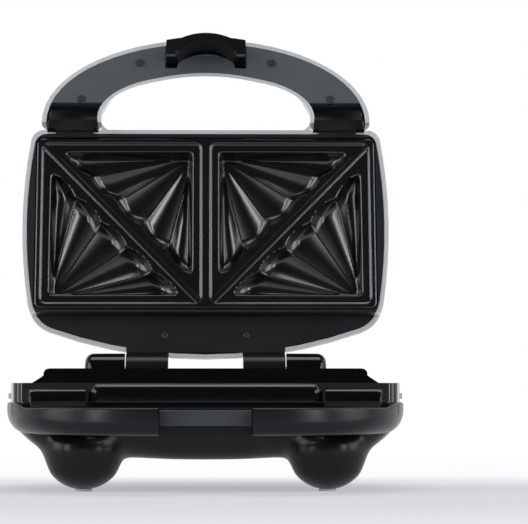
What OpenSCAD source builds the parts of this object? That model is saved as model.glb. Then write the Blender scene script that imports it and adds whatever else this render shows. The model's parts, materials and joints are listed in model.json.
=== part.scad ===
// Sandwich toaster with two cells, hinged lid, front handle and latch.
// Lengths in mm. X runs to the right, Y to the rear, Z up from the table.
// Lid pieces are drawn closed and then turned open about the hinge axis.

/* [Body] */
// Width of the body beyond the plates on each side
side_margin = 8; // [7:0.5:12]
// Plan radius of the two sides
side_r = 370; // [340:5:420]
// Plan radius of the rear edge
rear_r = 310; // [290:5:340]
// Plan radius of the rear corners
corner_r = 22; // [18:1:28]
// Plan radius of the front corners
front_corner_r = 9; // [7:0.5:12]
// Depth of the body in front of the plates
front_margin = 5.25; // [5:0.25:8]
// Depth of the body behind the plates
rear_margin = 32.25; // [30.25:0.5:34.25]
// Wall of the moulded shells
wall = 2.5; // [2:0.1:3]

/* [Base] */
// Height of the lower housing's rim
housing_h = 55; // [54:0.5:56]
// Height of the belly's underside above the table
belly_z = 21; // [19:0.5:23]
// Height of the rear ledge above the lower plate's rim
ledge_rise = 9.7; // [8.5:0.1:10]
// Start of the rear ledge behind the plates
ledge_margin = 3.25; // [2.75:0.25:5]
// Distance of the rear ledge's foot from the body's widest point
ledge_foot_in = 10; // [8:0.5:13]
// Distance of the rear ledge's top corner from the body's widest point
ledge_top_in = 19; // [17:0.5:23]
// Height of the side trims
trim_h = 3.5; // [2:0.5:5]
// Length of the side trims
trim_l = 80; // [60:5:100]

/* [Feet] */
// Radius of the foot bulges
foot_r = 26; // [24:0.5:27]
// Sideways distance of the front feet from the middle
foot_front_x = 75.7; // [72:0.5:80]
// Sideways distance of the rear feet from the middle
foot_rear_x = 80.7; // [76:0.5:84]
// Distance of the front feet from the body's front edge
foot_front_in = 18; // [17:1:23]
// Distance of the rear feet from the body's rear edge
foot_rear_in = 30; // [28:1:36]
// Radius of the foot pads
pad_r = 5.3; // [4.5:0.1:7]
// Thickness of the foot pads
pad_t = 1.5; // [1:0.1:2]

/* [Handles] */
// Distance of the handles' sides from the body's widest point
handle_in = 12; // [10:0.5:15]
// Half-width of the hole between handle and body
hole_a = 72; // [68:0.5:76]
// Reach of the handles beyond the body front
handle_reach = 62; // [56:1:68]
// Depth of the handle bars at the middle
bar_depth = 27.5; // [25:0.5:30]
// Height of the lower handle
bar_h = 16.4; // [14:0.2:19]
// Top of the lower handle below the lower housing's rim
bar_drop = 3; // [2.5:0.5:5]
// Height of the upper handle
grip_h = 19.5; // [17:0.5:22]
// Gap between the closed handles
handle_gap = 1; // [0.8:0.1:1.5]
// Thickness of the handle covers
cover_t = 2.5; // [2:0.1:3]
// Width of the shell's rim round the handle cover
rim_w = 3; // [2.5:0.1:3.5]
// Rear edge of the handle covers, measured forwards from the body front
cover_end = 15; // [12:0.5:18]

/* [Plates] */
// Width of a cooking plate
plate_w = 234; // [228:0.5:235]
// Depth of a cooking plate
plate_d = 123.5; // [122:0.5:124.5]
// Thickness of a cooking plate's rim
plate_t = 3.5; // [3:0.1:4]
// Height of the lower plate's rim above the lower housing's rim
frame_h = 12; // [11:0.5:13]
// Gap between the two plates when the lid is closed
plate_gap = 1.5; // [1.2:0.1:2]
// Depth of the cells below the rim
cell_deep = 1.5; // [1:0.1:2]
// Width of the rim round the cells
cell_rim = 3.6; // [3:0.1:5]
// Width of the bar between the two cells
divider_w = 5.5; // [4:0.5:7]
// Width of the diagonal ridge
ridge_w = 4; // [3:0.5:5]
// Distance from a pocket's far end to the cell's opposite side
pocket_end = 16.65; // [15.65:0.5:20.65]
// Depth of the pockets below the cell
pocket_deep = 9; // [7:0.5:10]
// Number of flutes in a pocket
flutes = 5; // [4:1:6]
// Play round a plate in its frame
plate_play = 0.5; // [0.4:0.1:0.8]
// Width of the frame's seat under a plate
seat_w = 3; // [2.5:0.1:3.5]

/* [Lid] */
// Width of the lid shell beyond the body on each side
lid_over = 0.8; // [0.5:0.1:1]
// Lower edge of the lid shell above the lower plate's rim
lid_rise = 2; // [1.7:0.1:2.5]
// Room between the upper reflector and the top of the lid
dome_room = 10.3; // [9.3:0.5:14.3]
// Gap between the lid and the rear ledge
ledge_gap = 1.3; // [1:0.1:2]
// Radius of the indicator lamps
lamp_r = 4; // [3:0.25:5]
// Distance between the indicator lamps
lamp_pitch = 36; // [24:1:50]
// Distance of the indicator lamps from the body's rear edge
lamp_in = 38; // [34:1:44]

/* [Hinge] */
// Hinge axis behind the body's rear edge
hinge_reach = 10; // [9:0.5:12]
// Height of the hinge axis above the lower plate's rim
hinge_rise = 8; // [7:0.5:9]
// How far the lid stands open
open_deg = 105; // [90:1:110]
// Radius of the hinge towers
tower_r = 12; // [11:0.5:12.5]
// Inner side of the hinge towers
tower_in = 54.6; // [53:0.2:57]
// Width of the hinge towers
tower_w = 27; // [22:0.5:30]
// Width of the lid's hinge arms
arm_w = 28.5; // [22:0.5:30]
// Side gap between tower and arm
arm_gap = 0.7; // [0.5:0.1:1]
// Radius of the hinge pins
hinge_pin_r = 3; // [2.5:0.1:4]
// Radial clearance of the pins in what turns on them
pin_play = 0.05; // [0.02:0.01:0.09]

/* [Latch] */
// Width of the latch
latch_w = 54.5; // [48:0.5:58]
// Thickness of the latch
latch_t = 8.2; // [7.5:0.1:9]
// Distance of the latch's back from the front edge of the handles
latch_in = 17.5; // [17:0.1:18]
// Reach of the latch below the lower handle
latch_drop = 4.6; // [3.6:0.1:6.6]
// Height of the latch pin above the lower handle
pin_rise = 10; // [9.5:0.1:10.1]
// Radius of the latch pin
latch_pin_r = 1.5; // [1.2:0.1:1.8]
// Radius of the latch's eye round its pin
latch_eye_r = 4; // [3.5:0.1:4.5]
// Reach of the claws under the lower handle
claw_reach = 2.3; // [2:0.1:2.6]
// Height of the claws
claw_h = 4.3; // [3.5:0.1:4.4]
// Width of the thumb lip
lip_w = 40; // [30:1:46]
// Reach of the thumb lip
lip_reach = 5.3; // [3:0.1:6]
// Width of the arch in the latch
arch_w = 38; // [30:1:42]
// Depth of the arch in the latch
arch_deep = 7.6; // [6:0.1:7.8]
// Side play of the latch in the lower handle's notch
notch_play = 0.95; // [0.7:0.05:1.5]
// Height of the catch that the claws hold
catch_h = 5.8; // [4:0.1:7]

/* [Inside] */
// Radius of the heating elements
element_r = 3.3; // [3:0.1:3.6]
// Sheet thickness of the reflectors
sheet_t = 0.8; // [0.6:0.1:1]
// Radius of the self-tapping screws' shanks
screw_r = 1.4; // [1.2:0.1:1.6]
// Radius of the screw heads
head_r = 2.4; // [2.2:0.1:2.8]
// Bore of the cord gland
gland_bore_r = 3.5; // [3:0.1:4]
// Height of the cord inlet below the lower housing's rim
gland_drop = 13; // [10:0.5:15]

/* [Hidden] */

$fn = 48;

// Y of the plate middle, which puts the open toaster's middle over the origin
middle_y = -19.8;

hw = plate_w / 2 + side_margin;
plate_z = housing_h + frame_h;
ledge_h = plate_z + ledge_rise;
lid_z = plate_z + lid_rise;
hinge_z = plate_z + hinge_rise;
bar_top = housing_h - bar_drop;
bar_z = bar_top - bar_h;
gland_z = housing_h - gland_drop;
latch_z = bar_z - latch_drop;
latch_pin_z = bar_top + pin_rise;
front_y = -plate_d / 2 - front_margin;
rear_depth = plate_d / 2 + rear_margin;
ledge_start = plate_d / 2 + ledge_margin;
ledge_foot = hw - ledge_foot_in;
ledge_top = hw - ledge_top_in;
hinge_y = rear_depth + hinge_reach;
handle_a = hw - handle_in;
mid_z = plate_z + plate_gap / 2;
fit_gap = 0.3;
press_play = 0.02;
over = 1; // overrun of the cuts

// Plan outline
corner_steps = 5;
side_steps = 8;

// Handles
root_gap = 0.5;
root_y = front_y - root_gap;
handle_b = handle_reach - root_gap;
bar_front = front_y - handle_reach;
latch_d = -bar_front - latch_in;
lamp_d = rear_depth - lamp_in;
hole_b = root_y - bar_front - bar_depth;
grip_z = bar_top + handle_gap;
grip_top = grip_z + grip_h;
bar_steps = 30;
roll_step = 22.5;
edge_run = 10;
edge_rise = 12;
roll_z = grip_top - edge_rise;
low_run = 8;
low_rise = 7;
leg_back = front_y + 22;
cover_y = front_y - cover_end;

// Shells
belly_run = 32;
belly_edge_z = housing_h - 6.5;
belly_power = 1.38;
belly_angles = [90, 79, 68, 56, 43, 30, 15];
dome_run = 62;
dome_edge = 6;
dome_power = 0.8;
dome_angles = [9, 20, 31, 43, 55, 67, 79, 90];
frame_inset = 1.5;
lip_inset = wall + 0.2;
lip_h = 5;
frame_hollow = lip_inset + wall;
lid_inset = rim_w - lid_over + 0.1;
trim_y = 17;
trim_z = housing_h + 2;

// Ledge, leg roots and what meets them in the lid
ledge_round = 6;
ledge_slope = 2;
ledge_clear = 0.7;
recess_y = ledge_start - ledge_clear;
recess_z = ledge_h + ledge_gap;
step_t = 1.5;
plug_h = 4;
plug_rise = 8;
grip_screw_l = 12;
frame_screw_l = 11;
root_play = 0.8;
root_z = plate_z - 3.7;
tongue_z = root_z + 0.9;
tongue_t = 1.6;
tongue_in = 1.6;
link_in = hole_a + 6;
link_out = handle_a - 9;

// Plates and the seats under them
open_w = plate_w + 2 * plate_play;
open_d = plate_d + 2 * plate_play;
plate_corner = 5;
seat_t = 2.2;
seat_z = plate_z - plate_t;
tray_top = seat_z - seat_t;
seat_x = open_w / 2 - seat_w;
seat_y = open_d / 2 - seat_w;
seat_corner = 17;
face_z = plate_z + plate_gap;
cell_z = plate_z - cell_deep;
cell_in = divider_w / 2;
cell_out = plate_w / 2 - cell_rim;
cell_w = cell_out - cell_in;
pocket_in = 6;
pocket_l = cell_w - pocket_in - pocket_end;
cell_d = plate_d - 2 * cell_rim;
cell_corner = 4;
ridge_drop = 0.3;
pocket_skin = 2.5;
pocket_wall = 3;
pocket_crest = 3.5;
pocket_rows = [0.35, 0.7, 1];
scallop = 3;
flute_steps = 6;
pocket_z = cell_z - pocket_deep - pocket_skin;

// Heating
element_z = pocket_z - fit_gap - element_r;
element_w = 150;
element_d = 66;
element_bend = 18;
terminal_x = 15;
terminal_r = 2;
terminal_l = 8.4;
tray_floor = element_z - element_r - 2;
closed_h = 2 * mid_z - tray_floor + sheet_t + dome_room + wall;
lamp_l = 10.9;
board_t = 1.6;
board_x = 9;
board_y = 8;
tray_floor_x = plate_w / 2 - 22;
tray_floor_y = plate_d / 2 - 11.75;
tray_slope = 2;
flange = 2.5;
plate_screw_y = plate_d / 2 - 17.75;
block_z = belly_z + wall;
block_h = 12;

// Latch
latch_front = latch_d + latch_t;
latch_top = bar_top + 4;
lip_top = bar_top - 3;
spine_reach = 2.6;
pin_y = -(latch_d + 5);
notch_hw = latch_w / 2 + notch_play;
notch_y = -(latch_d - claw_reach - fit_gap);
cheek_t = 2.5;
cheek_y = 4.5;
cheek_h = 11;
eye_gap = 8;
spring_room = 4.2;
spring_turns = 6;
spring_r = 2.3;
wire_r = 0.4;

// Hinge
tower_out = tower_in + tower_w;
tower_round = 6;
arm_out = tower_in - arm_gap;
arm_in = arm_out - arm_w;
arm_r = tower_r - 0.5;
pin_end = 3;
swing_gap = 1;

// Screws
screw_play = 0.05;
boss_r = 3.4;
screw_seat = bar_top - 10;
head_t = 1.8;
head_out = 0.4;
handle_screw_pts = [[45, front_y - 44.5], [85.3, front_y - 17.8]];
frame_screw_pts = [[27.8, rear_depth - 16]];
root_screw = [92, front_y - 9];
rear_screw = [34, rear_depth - 22];
foot_pts = [[foot_front_x, front_y + foot_front_in], [foot_rear_x, rear_depth - foot_rear_in]];
foot_z = pad_t + sqrt(pow(foot_r, 2) - pow(pad_r + 0.4, 2));
foot_top = bar_z;
skirt_r = 8;

// Places of the base and of the open lid
module base() {
    translate([0, middle_y, 0]) children();
}

module lid() {
    translate([0, middle_y + hinge_y, hinge_z]) rotate([-open_deg, 0, 0])
        translate([0, -hinge_y, -hinge_z]) children();
}

// A lower piece turned over for the lid
module turned() {
    translate([0, 0, 2 * mid_z]) mirror([0, 0, 1]) children();
}

module both() {
    children();
    mirror([1, 0, 0]) children();
}

module at(points) {
    both() for (p = points) translate([p[0], p[1], 0]) children();
}

// Points of an arc from angle a0 to angle a1
function arc(c, r, a0, a1, n) = [for (i = [0:n]) let (a = a0 + (a1 - a0) * i / n)
    [c[0] + r * cos(a), c[1] + r * sin(a)]];
function reversed(v) = [for (i = [len(v) - 1:-1:0]) v[i]];
function all_but_last(v) = [for (i = [0:len(v) - 2]) v[i]];
function flip_x(v) = [for (p = reversed(v)) [-p[0], p[1]]];

// Meeting point of two circles, left of the line from the first to the second
function meet(c1, r1, c2, r2) =
    let (d = norm(c2 - c1), u = (c2 - c1) / d, a = (r1 * r1 - r2 * r2 + d * d) / (2 * d),
         h = sqrt(r1 * r1 - a * a))
    c1 + a * u + h * [-u[1], u[0]];

// Plan outline of the body, drawn in by an inset
function outline(inset) =
    let (side_c = [hw - side_r, 0], rear_c = [0, rear_depth - rear_r],
         sr = side_r - inset, rr = rear_r - inset,
         fr = max(front_corner_r - inset / 3, 3), cr = max(corner_r - inset / 3, 6),
         fy = front_y + inset + fr,
         fc = [side_c[0] + sqrt(pow(sr - fr, 2) - fy * fy), fy],
         cc = meet(side_c, sr - cr, rear_c, rr - cr),
         a1 = atan2(fc[1], fc[0] - side_c[0]),
         a2 = atan2(cc[1], cc[0] - side_c[0]),
         a3 = atan2(cc[1] - rear_c[1], cc[0]),
         half = concat(all_but_last(arc(fc, fr, -90, a1, corner_steps)),
                       all_but_last(arc(side_c, sr, a1, a2, side_steps)),
                       all_but_last(arc(cc, cr, a2, a3, corner_steps)),
                       arc(rear_c, rr, a3, 90, corner_steps)))
    concat(half, flip_x(all_but_last(half)));
function ring(inset, z) = [for (p = outline(inset)) [p[0], p[1], z]];

// Closed skin over a row of rings, each drawn anticlockwise as seen from the last one.
// Its two ends are strips that join the first half of a ring's points to the second half.
module skin(rings) {
    n = len(rings[0]);
    last = (len(rings) - 1) * n;
    sides = [for (k = [0:n:last - n], i = [0:n - 1]) let (j = (i + 1) % n)
        each [[k + i, k + n + i, k + n + j], [k + i, k + n + j, k + j]]];
    strip = [for (i = [0:ceil(n / 2) - 2]) let (a = n - 1 - i)
        each i + 1 == a - 1 ? [[i, i + 1, a]] : [[i, i + 1, a - 1], [i, a - 1, a]]];
    polyhedron(points = [for (r = rings) each r],
        faces = concat(sides, strip, [for (t = strip) [last + t[2], last + t[1], last + t[0]]]));
}

module plan(inset, z0, z1) {
    translate([0, 0, z0]) linear_extrude(z1 - z0) polygon(outline(inset));
}

module box(x0, x1, y0, y1, z0, z1) {
    translate([x0, y0, z0]) cube([x1 - x0, y1 - y0, z1 - z0]);
}

module along_x(x0, x1, y, z, r) {
    translate([x0, y, z]) rotate([0, 90, 0]) cylinder(h = x1 - x0, r = r);
}

module along_y(x, y0, y1, z, r) {
    translate([x, y0, z]) rotate([-90, 0, 0]) cylinder(h = y1 - y0, r = r);
}

module post(x, y, z0, z1, r) {
    translate([x, y, z0]) cylinder(h = z1 - z0, r = r);
}

// Slab with round corners, centred
module slab(w, d, r, z0, z1) {
    translate([0, 0, z0]) linear_extrude(z1 - z0) union() {
        square([w - 2 * r, d], center = true);
        square([w, d - 2 * r], center = true);
        for (x = [-1, 1], y = [-1, 1]) translate([x * (w / 2 - r), y * (d / 2 - r)]) circle(r);
    }
}

// Solid along X whose side view is given as points [y, z]
module side_prism(x0, x1, pts) {
    translate([x0, 0, 0]) rotate([90, 0, 90]) linear_extrude(x1 - x0) polygon(pts);
}

// Belly of the lower housing and dome of the lid, with what lies inside them
function belly_ring(a, t) = ring(t + belly_run * (1 - pow(cos(a), belly_power)),
    belly_edge_z - (belly_edge_z - belly_z - t) * pow(sin(a), belly_power));
function dome_ring(a, t, cut) = ring(t - lid_over + dome_run * (1 - pow(cos(a), dome_power)),
    lid_z + dome_edge + (closed_h - lid_z - dome_edge - cut) * pow(sin(a), dome_power));

module belly(t, top) {
    skin(concat([for (a = belly_angles) belly_ring(a, t)], [ring(t, belly_edge_z), ring(t, top)]));
}

module dome(t, start, cut) {
    skin(concat([ring(t - lid_over, start), ring(t - lid_over, lid_z + dome_edge)],
        [for (a = dome_angles) dome_ring(a, t, cut)]));
}

// Handle bars: a section swept from the right leg round the front to the left leg.
// A section point is [side, offset, z]: side 0 counts from the hole, side 1 from outside.
// A channel's section goes from one lip to the other outside, and back again inside.
function roll(x, run, z, rise) = [for (a = [0:roll_step:90]) [x + run * (1 - cos(a)), z + rise * sin(a)]];
function channel(first, thicker, outer, inner) = concat(
    [for (p = outer) [first, p[0], p[1]]],
    [for (p = reversed(outer)) [1 - first, p[0], p[1]]],
    [for (p = inner) [1 - first, p[0] + thicker * (1 - first), p[1]]],
    [for (p = reversed(inner)) [first, p[0] + thicker * first, p[1]]]);
function oval(a, b, t) = [a * cos(t), root_y + b * sin(t)];
function station(i, o, section) =
    let (d = (o - i) / norm(o - i))
    [for (s = section) let (p = s[0] == 0 ? i + d * s[1] : o - d * s[1]) [p[0], p[1], s[2]]];
function bar_rings(section) = [for (k = [0:bar_steps]) let (t = 360 - 180 * k / bar_steps)
    station(oval(hole_a, hole_b, t), oval(handle_a, handle_b, t), section)];
function leg_ring(side, y, section) = station([side * hole_a, y], [side * handle_a, y], section);

// Upright piece with the bar's plan, set in from outside and from the hole
module bar_plan(outer, inner, z0, z1) {
    rings = bar_rings([[1, outer, 0], [0, inner, 0]]);
    translate([0, 0, z0]) linear_extrude(z1 - z0) polygon(concat(
        [for (r = rings) [r[0][0], r[0][1]]], [for (r = reversed(rings)) [r[1][0], r[1][1]]]));
}

// The same between two depths
module bar_part(outer, inner, y0, y1, z0, z1) {
    intersection() {
        bar_plan(outer, inner, z0, z1);
        box(-hw, hw, y0, y1, z0 - over, z1 + over);
    }
}

module notch(y1, z0, z1) {
    box(-notch_hw, notch_hw, bar_front - over, y1, z0, z1);
}

// Ball of a foot, cut level at its top
module bulge(r, top) {
    intersection() {
        translate([0, 0, foot_z]) sphere(r);
        translate([0, 0, pad_t]) cylinder(h = top - pad_t, r = r + over);
    }
}

// Fillet that blends a foot into the belly
module skirt() {
    low = belly_z - skirt_r;
    x = sqrt(pow(foot_r + skirt_r, 2) - pow(foot_z - low, 2));
    a = atan2(foot_z - low, x);
    rotate_extrude() polygon(concat([[foot_r / 2, belly_z + wall], [foot_r / 2, foot_z - foot_r * sin(a)]],
        arc([x, low], skirt_r, 180 - a, 90, 6), [[x, belly_z + wall]]));
}

// Screw that points up from its head
module screw(z, head_z, end) {
    post(0, 0, z, z + head_t, head_r);
    post(0, 0, head_z, end, screw_r);
}

// Cooking plate. A pocket is a fan of flutes that spreads from its right-angled corner.
function cusp(i) = abs(2 * (i / flute_steps - floor(i / flute_steps)) - 1);
function edge_point(i, from, len) =
    let (q = i / (flutes * flute_steps), s = scallop * (1 - pow(cusp(i), 2)) / sqrt(2))
    [from + len * (1 - q) + s, from + len * q + s];
function floor_point(i, t, len, deep) =
    let (p = edge_point(i, pocket_wall, len - (2 + sqrt(2)) * pocket_wall), f = [pocket_wall, pocket_wall],
         xy = f + t * (p - f))
    [xy[0], xy[1], -deep + pocket_crest * t * pow(cusp(i), 2)];

module pocket(grow, top) {
    q = flutes * flute_steps;
    n = q + 1;
    len = pocket_l + (2 + sqrt(2)) * grow;
    deep = pocket_deep + grow;
    rows = len(pocket_rows);
    translate([-grow, -grow, 0]) polyhedron(
        points = concat([[0, 0, top], [pocket_wall, pocket_wall, -deep]],
            [for (t = pocket_rows, i = [0:q]) floor_point(i, t, len, deep)],
            [for (i = [0:q]) let (p = edge_point(i, 0, len)) [p[0], p[1], top]]),
        faces = concat([for (i = [0:q - 1]) [1, 2 + i, 3 + i]],
            [for (k = [0:rows - 1], i = [0:q - 1]) let (a = 2 + k * n + i, b = a + n)
                each [[a, b, b + 1], [a, b + 1, a + 1]]],
            [[0, 2, 1], [0, 1, 2 + q]],
            [for (k = [0:rows - 1]) [0, 2 + (k + 1) * n, 2 + k * n]],
            [for (k = [0:rows - 1]) [0, 2 + k * n + q, 2 + (k + 1) * n + q]],
            [concat([0], [for (i = [q:-1:0]) 2 + rows * n + i])]));
}

module pockets(grow, top) {
    both() {
        translate([-(cell_in + pocket_in), -(cell_d / 2 - pocket_in), cell_z])
            rotate(90) pocket(grow, top);
        translate([-(cell_out - pocket_in), cell_d / 2 - pocket_in, cell_z])
            rotate(-90) pocket(grow, top);
    }
}

module cells() {
    a = atan2(cell_d, cell_w);
    both() translate([-(cell_in + cell_out) / 2, 0, 0]) difference() {
        slab(cell_w, cell_d, cell_corner, cell_z, plate_z + over);
        rotate(a) translate([-cell_w, -ridge_w / 2, cell_z - over])
            cube([2 * cell_w, ridge_w, plate_z - ridge_drop - cell_z + over]);
    }
}

module cooking_plate() {
    difference() {
        union() {
            slab(plate_w, plate_d, plate_corner, seat_z, plate_z);
            pockets(pocket_skin, -0.5);
            for (y = [-1, 1]) post(0, y * plate_screw_y, tray_floor + sheet_t, seat_z + over, boss_r);
        }
        cells();
        pockets(0, 0.5);
        for (y = [-1, 1]) post(0, y * plate_screw_y, tray_floor, seat_z - 3, screw_r + screw_play);
    }
}

// Tube loop with two cold ends
module element() {
    x = element_w / 2;
    y = element_d / 2;
    b = element_bend;
    translate([0, 0, element_z]) union() {
        both() {
            along_y(x, b - y, y - b, 0, element_r);
            along_x(terminal_x, x - b, y, 0, element_r);
            for (s = [-1, 1]) translate([x - b, s * (y - b), 0]) rotate(s * 45 - 45)
                rotate_extrude(angle = 90) translate([b, 0]) circle(element_r);
            post(terminal_x + terminal_r, y, -terminal_l, 0, terminal_r);
        }
        along_x(b - x, x - b, -y, 0, element_r);
    }
}

// Reflector tray: floor, sloped sides and the flange under the plate's seat
function tray_ring(x, y, z) =
    let (r = max(seat_corner, seat_corner + x - seat_x),
         q = [for (a = [0:15:90]) [x - r + r * cos(a), y - r + r * sin(a), z]],
         h = concat(q, [for (p = reversed(q)) [-p[0], p[1], z]]))
    concat(h, [for (p = h) [-p[0], -p[1], z]]);

module reflector() {
    t = sheet_t;
    difference() {
        skin([tray_ring(tray_floor_x, tray_floor_y, tray_floor),
            tray_ring(seat_x - tray_slope - 1, seat_y - tray_slope, pocket_z - 0.5),
            tray_ring(seat_x, seat_y, tray_top - t),
            tray_ring(seat_x + flange, seat_y + flange, tray_top - t),
            tray_ring(seat_x + flange, seat_y + flange, tray_top),
            tray_ring(seat_x - t, seat_y - t, tray_top),
            tray_ring(seat_x - tray_slope - 1 - t, seat_y - tray_slope - t, pocket_z - 0.5 + t),
            tray_ring(tray_floor_x - t, tray_floor_y - t, tray_floor + t)]);
        for (y = [-1, 1]) post(0, y * plate_screw_y, tray_floor - over, tray_floor + 2, screw_r + screw_play);
        both() post(terminal_x + terminal_r, element_d / 2, tray_floor - over, tray_floor + 2,
            terminal_r + 1);
    }
}

module plate_screws() {
    for (y = [-1, 1]) translate([0, y * plate_screw_y, 0])
        screw(tray_floor - head_t, tray_floor - over, seat_z - 5.5);
}

/* Base */

bar_section = channel(0, 0, concat([[0, bar_top]], roll(0, low_run, bar_z + low_rise, -low_rise)),
    concat([[wall, bar_top]], roll(wall, low_run + over - wall, bar_z + low_rise, wall - low_rise)));

module lower_housing() {
    w = wall;
    color("#2b2c2e") base() difference() {
        union() {
            difference() {
                union() {
                    belly(0, housing_h);
                    skin(concat([leg_ring(1, leg_back, bar_section)], bar_rings(bar_section),
                        [leg_ring(-1, leg_back, bar_section)]));
                    at(foot_pts) bulge(foot_r, foot_top);
                    intersection() {
                        at(foot_pts) skirt();
                        plan(belly_run - skirt_r, 0, housing_h);
                    }
                    along_y(0, rear_depth - 10, rear_depth + 0.2, gland_z, 3 * gland_bore_r - 0.5);
                }
                belly(w, housing_h + over);
                at(foot_pts) bulge(foot_r - w, foot_top - w);
                notch(notch_y, bar_z - over, bar_top + over);
            }
            // Notch walls, catch and screw bosses
            both() side_prism(notch_hw, notch_hw + w, [[bar_front + w, bar_z + low_rise],
                [bar_front + low_run + over, bar_z + 0.6], [notch_y + w, bar_z + 0.6],
                [notch_y + w, bar_top], [bar_front + w, bar_top]]);
            box(-notch_hw - w, notch_hw + w, notch_y, notch_y + w, bar_z + 0.6, bar_top);
            box(-notch_hw - w, notch_hw + w, fit_gap - latch_d, notch_y + over, bar_z, bar_z + catch_h);
            both() post(root_screw[0], root_screw[1], bar_z + over, bar_top - plug_h, boss_r);
            both() post(rear_screw[0], rear_screw[1], belly_z + over, bar_top - plug_h, boss_r);
        }
        at([root_screw, rear_screw]) {
            post(0, 0, 0, screw_seat, head_r + fit_gap);
            post(0, 0, 0, housing_h, screw_r + screw_play);
        }
        along_y(0, rear_depth - 12, rear_depth + over, gland_z, 2 * gland_bore_r - over);
        both() box(hole_a + rim_w, handle_a - rim_w - 0.5, front_y - 0.1, front_y + w + 0.1,
            bar_top, housing_h + over);
    }
}

// Rear ledge of the base frame: its plan, its front view and its side view together
module ledge(t, bottom) {
    r = ledge_round;
    right = concat([[ledge_foot - t, bottom], [ledge_foot - t, plate_z]],
        arc([ledge_top - r, ledge_h - r], r - t, 12, 90, 5));
    intersection() {
        plan(frame_inset + t, bottom, ledge_h);
        translate([0, rear_depth + over, 0]) rotate([90, 0, 0])
            linear_extrude(rear_depth - ledge_start + 2) polygon(concat(right, flip_x(right)));
        side_prism(-hw, hw, [[ledge_start + t, bottom], [ledge_start + t, plate_z],
            [ledge_start + t + ledge_slope, ledge_h - t], [rear_depth, ledge_h - t], [rear_depth, bottom]]);
    }
}

module base_frame() {
    foot = housing_h;
    color("#1e1f21") base() difference() {
        union() {
            difference() {
                union() {
                    plan(frame_inset, foot, plate_z);
                    plan(lip_inset, foot - lip_h, foot + over);
                    ledge(0, foot + over);
                }
                plan(frame_hollow, foot - lip_h - over, tray_top);
                ledge(wall, foot);
                slab(open_w, open_d, plate_corner, seat_z, plate_z + over);
                slab(2 * seat_x, 2 * seat_y, seat_corner, foot, plate_z + over);
            }
            // Handle roots with their plugs
            bar_part(rim_w + root_play, wall + root_play, cover_y + step_t + 0.5, root_y, bar_top, root_z);
            both() box(hole_a + rim_w + root_play, handle_a - rim_w - root_play, root_y - 0.5,
                front_y + frame_inset + wall, foot + 0.5, root_z);
            bar_part(wall, wall, cover_y + step_t + 0.5, root_y - 0.5, bar_top - plug_h, bar_top);
            both() {
                along_x(tower_in, tower_out - tower_round, hinge_y, hinge_z, tower_r);
                translate([tower_out - tower_round, hinge_y, hinge_z]) rotate([0, 90, 0])
                    rotate_extrude() union() {
                        square([tower_r - tower_round, tower_round]);
                        intersection() {
                            translate([tower_r - tower_round, 0]) circle(tower_round);
                            square([tower_r, tower_round]);
                        }
                    }
                side_prism(tower_in, tower_out, [[rear_depth - 16, foot + 2],
                    [rear_depth - 1.5, foot + 2], [hinge_y + tower_r, hinge_z - 7],
                    [hinge_y + tower_r, hinge_z], [rear_depth - 16, hinge_z]]);
                post(rear_screw[0], rear_screw[1], bar_top - plug_h, ledge_h - wall, boss_r);
            }
        }
        both() {
            along_x(arm_in - swing_gap, tower_in, hinge_y, hinge_z, arm_r + swing_gap);
            along_x(tower_in - over, tower_out - pin_end, hinge_y, hinge_z, hinge_pin_r + press_play);
            post(rear_screw[0], rear_screw[1], 0, bar_top + plug_rise + 0.5, screw_r + screw_play);
            post(root_screw[0], root_screw[1], 0, bar_top + plug_rise + 0.5, screw_r + screw_play);
        }
    }
}

module lower_handle_cover() {
    color("#26272a") base() difference() {
        bar_part(wall, wall, bar_front, cover_y, bar_top - cover_t, bar_top);
        box(-notch_hw - wall, notch_hw + wall, bar_front, notch_y + wall, 0, bar_top + over);
    }
}

module lower_plate() { color("#141416") base() cooking_plate(); }
module lower_element() { color("#8b8d90") base() element(); }
module lower_reflector() { color("#c9cbcd") base() reflector(); }
module lower_plate_screws() { color("#aeb1b4") base() plate_screws(); }

module thermostat() {
    color("#d8d3c4") base() box(-5.5, 5.5, -20, -2, pocket_z + 0.5, seat_z);
}

module thermal_fuse() {
    color("#e6e2d6") base() along_y(0, 8, 24, seat_z - terminal_r - fit_gap, terminal_r);
}

module terminal_block() {
    color("#e8e6df") base() box(-16, 16, 44, 58, block_z, block_z + block_h);
}

module foot_pads() {
    color("#d9dadb") base() at(foot_pts) post(0, 0, 0, pad_t, pad_r);
}

module housing_screws() {
    color("#aeb1b4") base() at([root_screw, rear_screw])
        screw(screw_seat - head_t, screw_seat - over, bar_top + plug_rise);
}

module side_trims() {
    color("#c3c6c9") base() intersection() {
        difference() {
            plan(0, trim_z, trim_z + trim_h);
            plan(frame_inset, trim_z - over, trim_z + trim_h + over);
        }
        box(-hw, hw, trim_y - trim_l / 2, trim_y + trim_l / 2, trim_z, trim_z + trim_h);
    }
}

module hinge_pins() {
    color("#9da0a3") base() both()
        along_x(arm_in + pin_end, tower_out - pin_end, hinge_y, hinge_z, hinge_pin_r);
}

module cord_gland() {
    color("#1b1c1e") base() difference() {
        union() {
            along_y(0, rear_depth - 8, rear_depth + 0.2, gland_z, 2 * gland_bore_r - over - screw_play);
            along_y(0, rear_depth + 0.2, rear_depth + 2.5, gland_z, 2 * gland_bore_r + 1.5);
        }
        along_y(0, rear_depth - 9, rear_depth + 4, gland_z, gland_bore_r);
    }
}

/* Lid */

grip_section = channel(1, rim_w - wall, concat([[0, grip_z]], roll(0, edge_run, roll_z, edge_rise)),
    concat([[wall, grip_z]], roll(wall, edge_run - wall, roll_z, edge_rise - wall)));

module tower_room() {
    both() along_x(arm_in - fit_gap, tower_out + over, hinge_y, hinge_z, tower_r + swing_gap);
}

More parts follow.
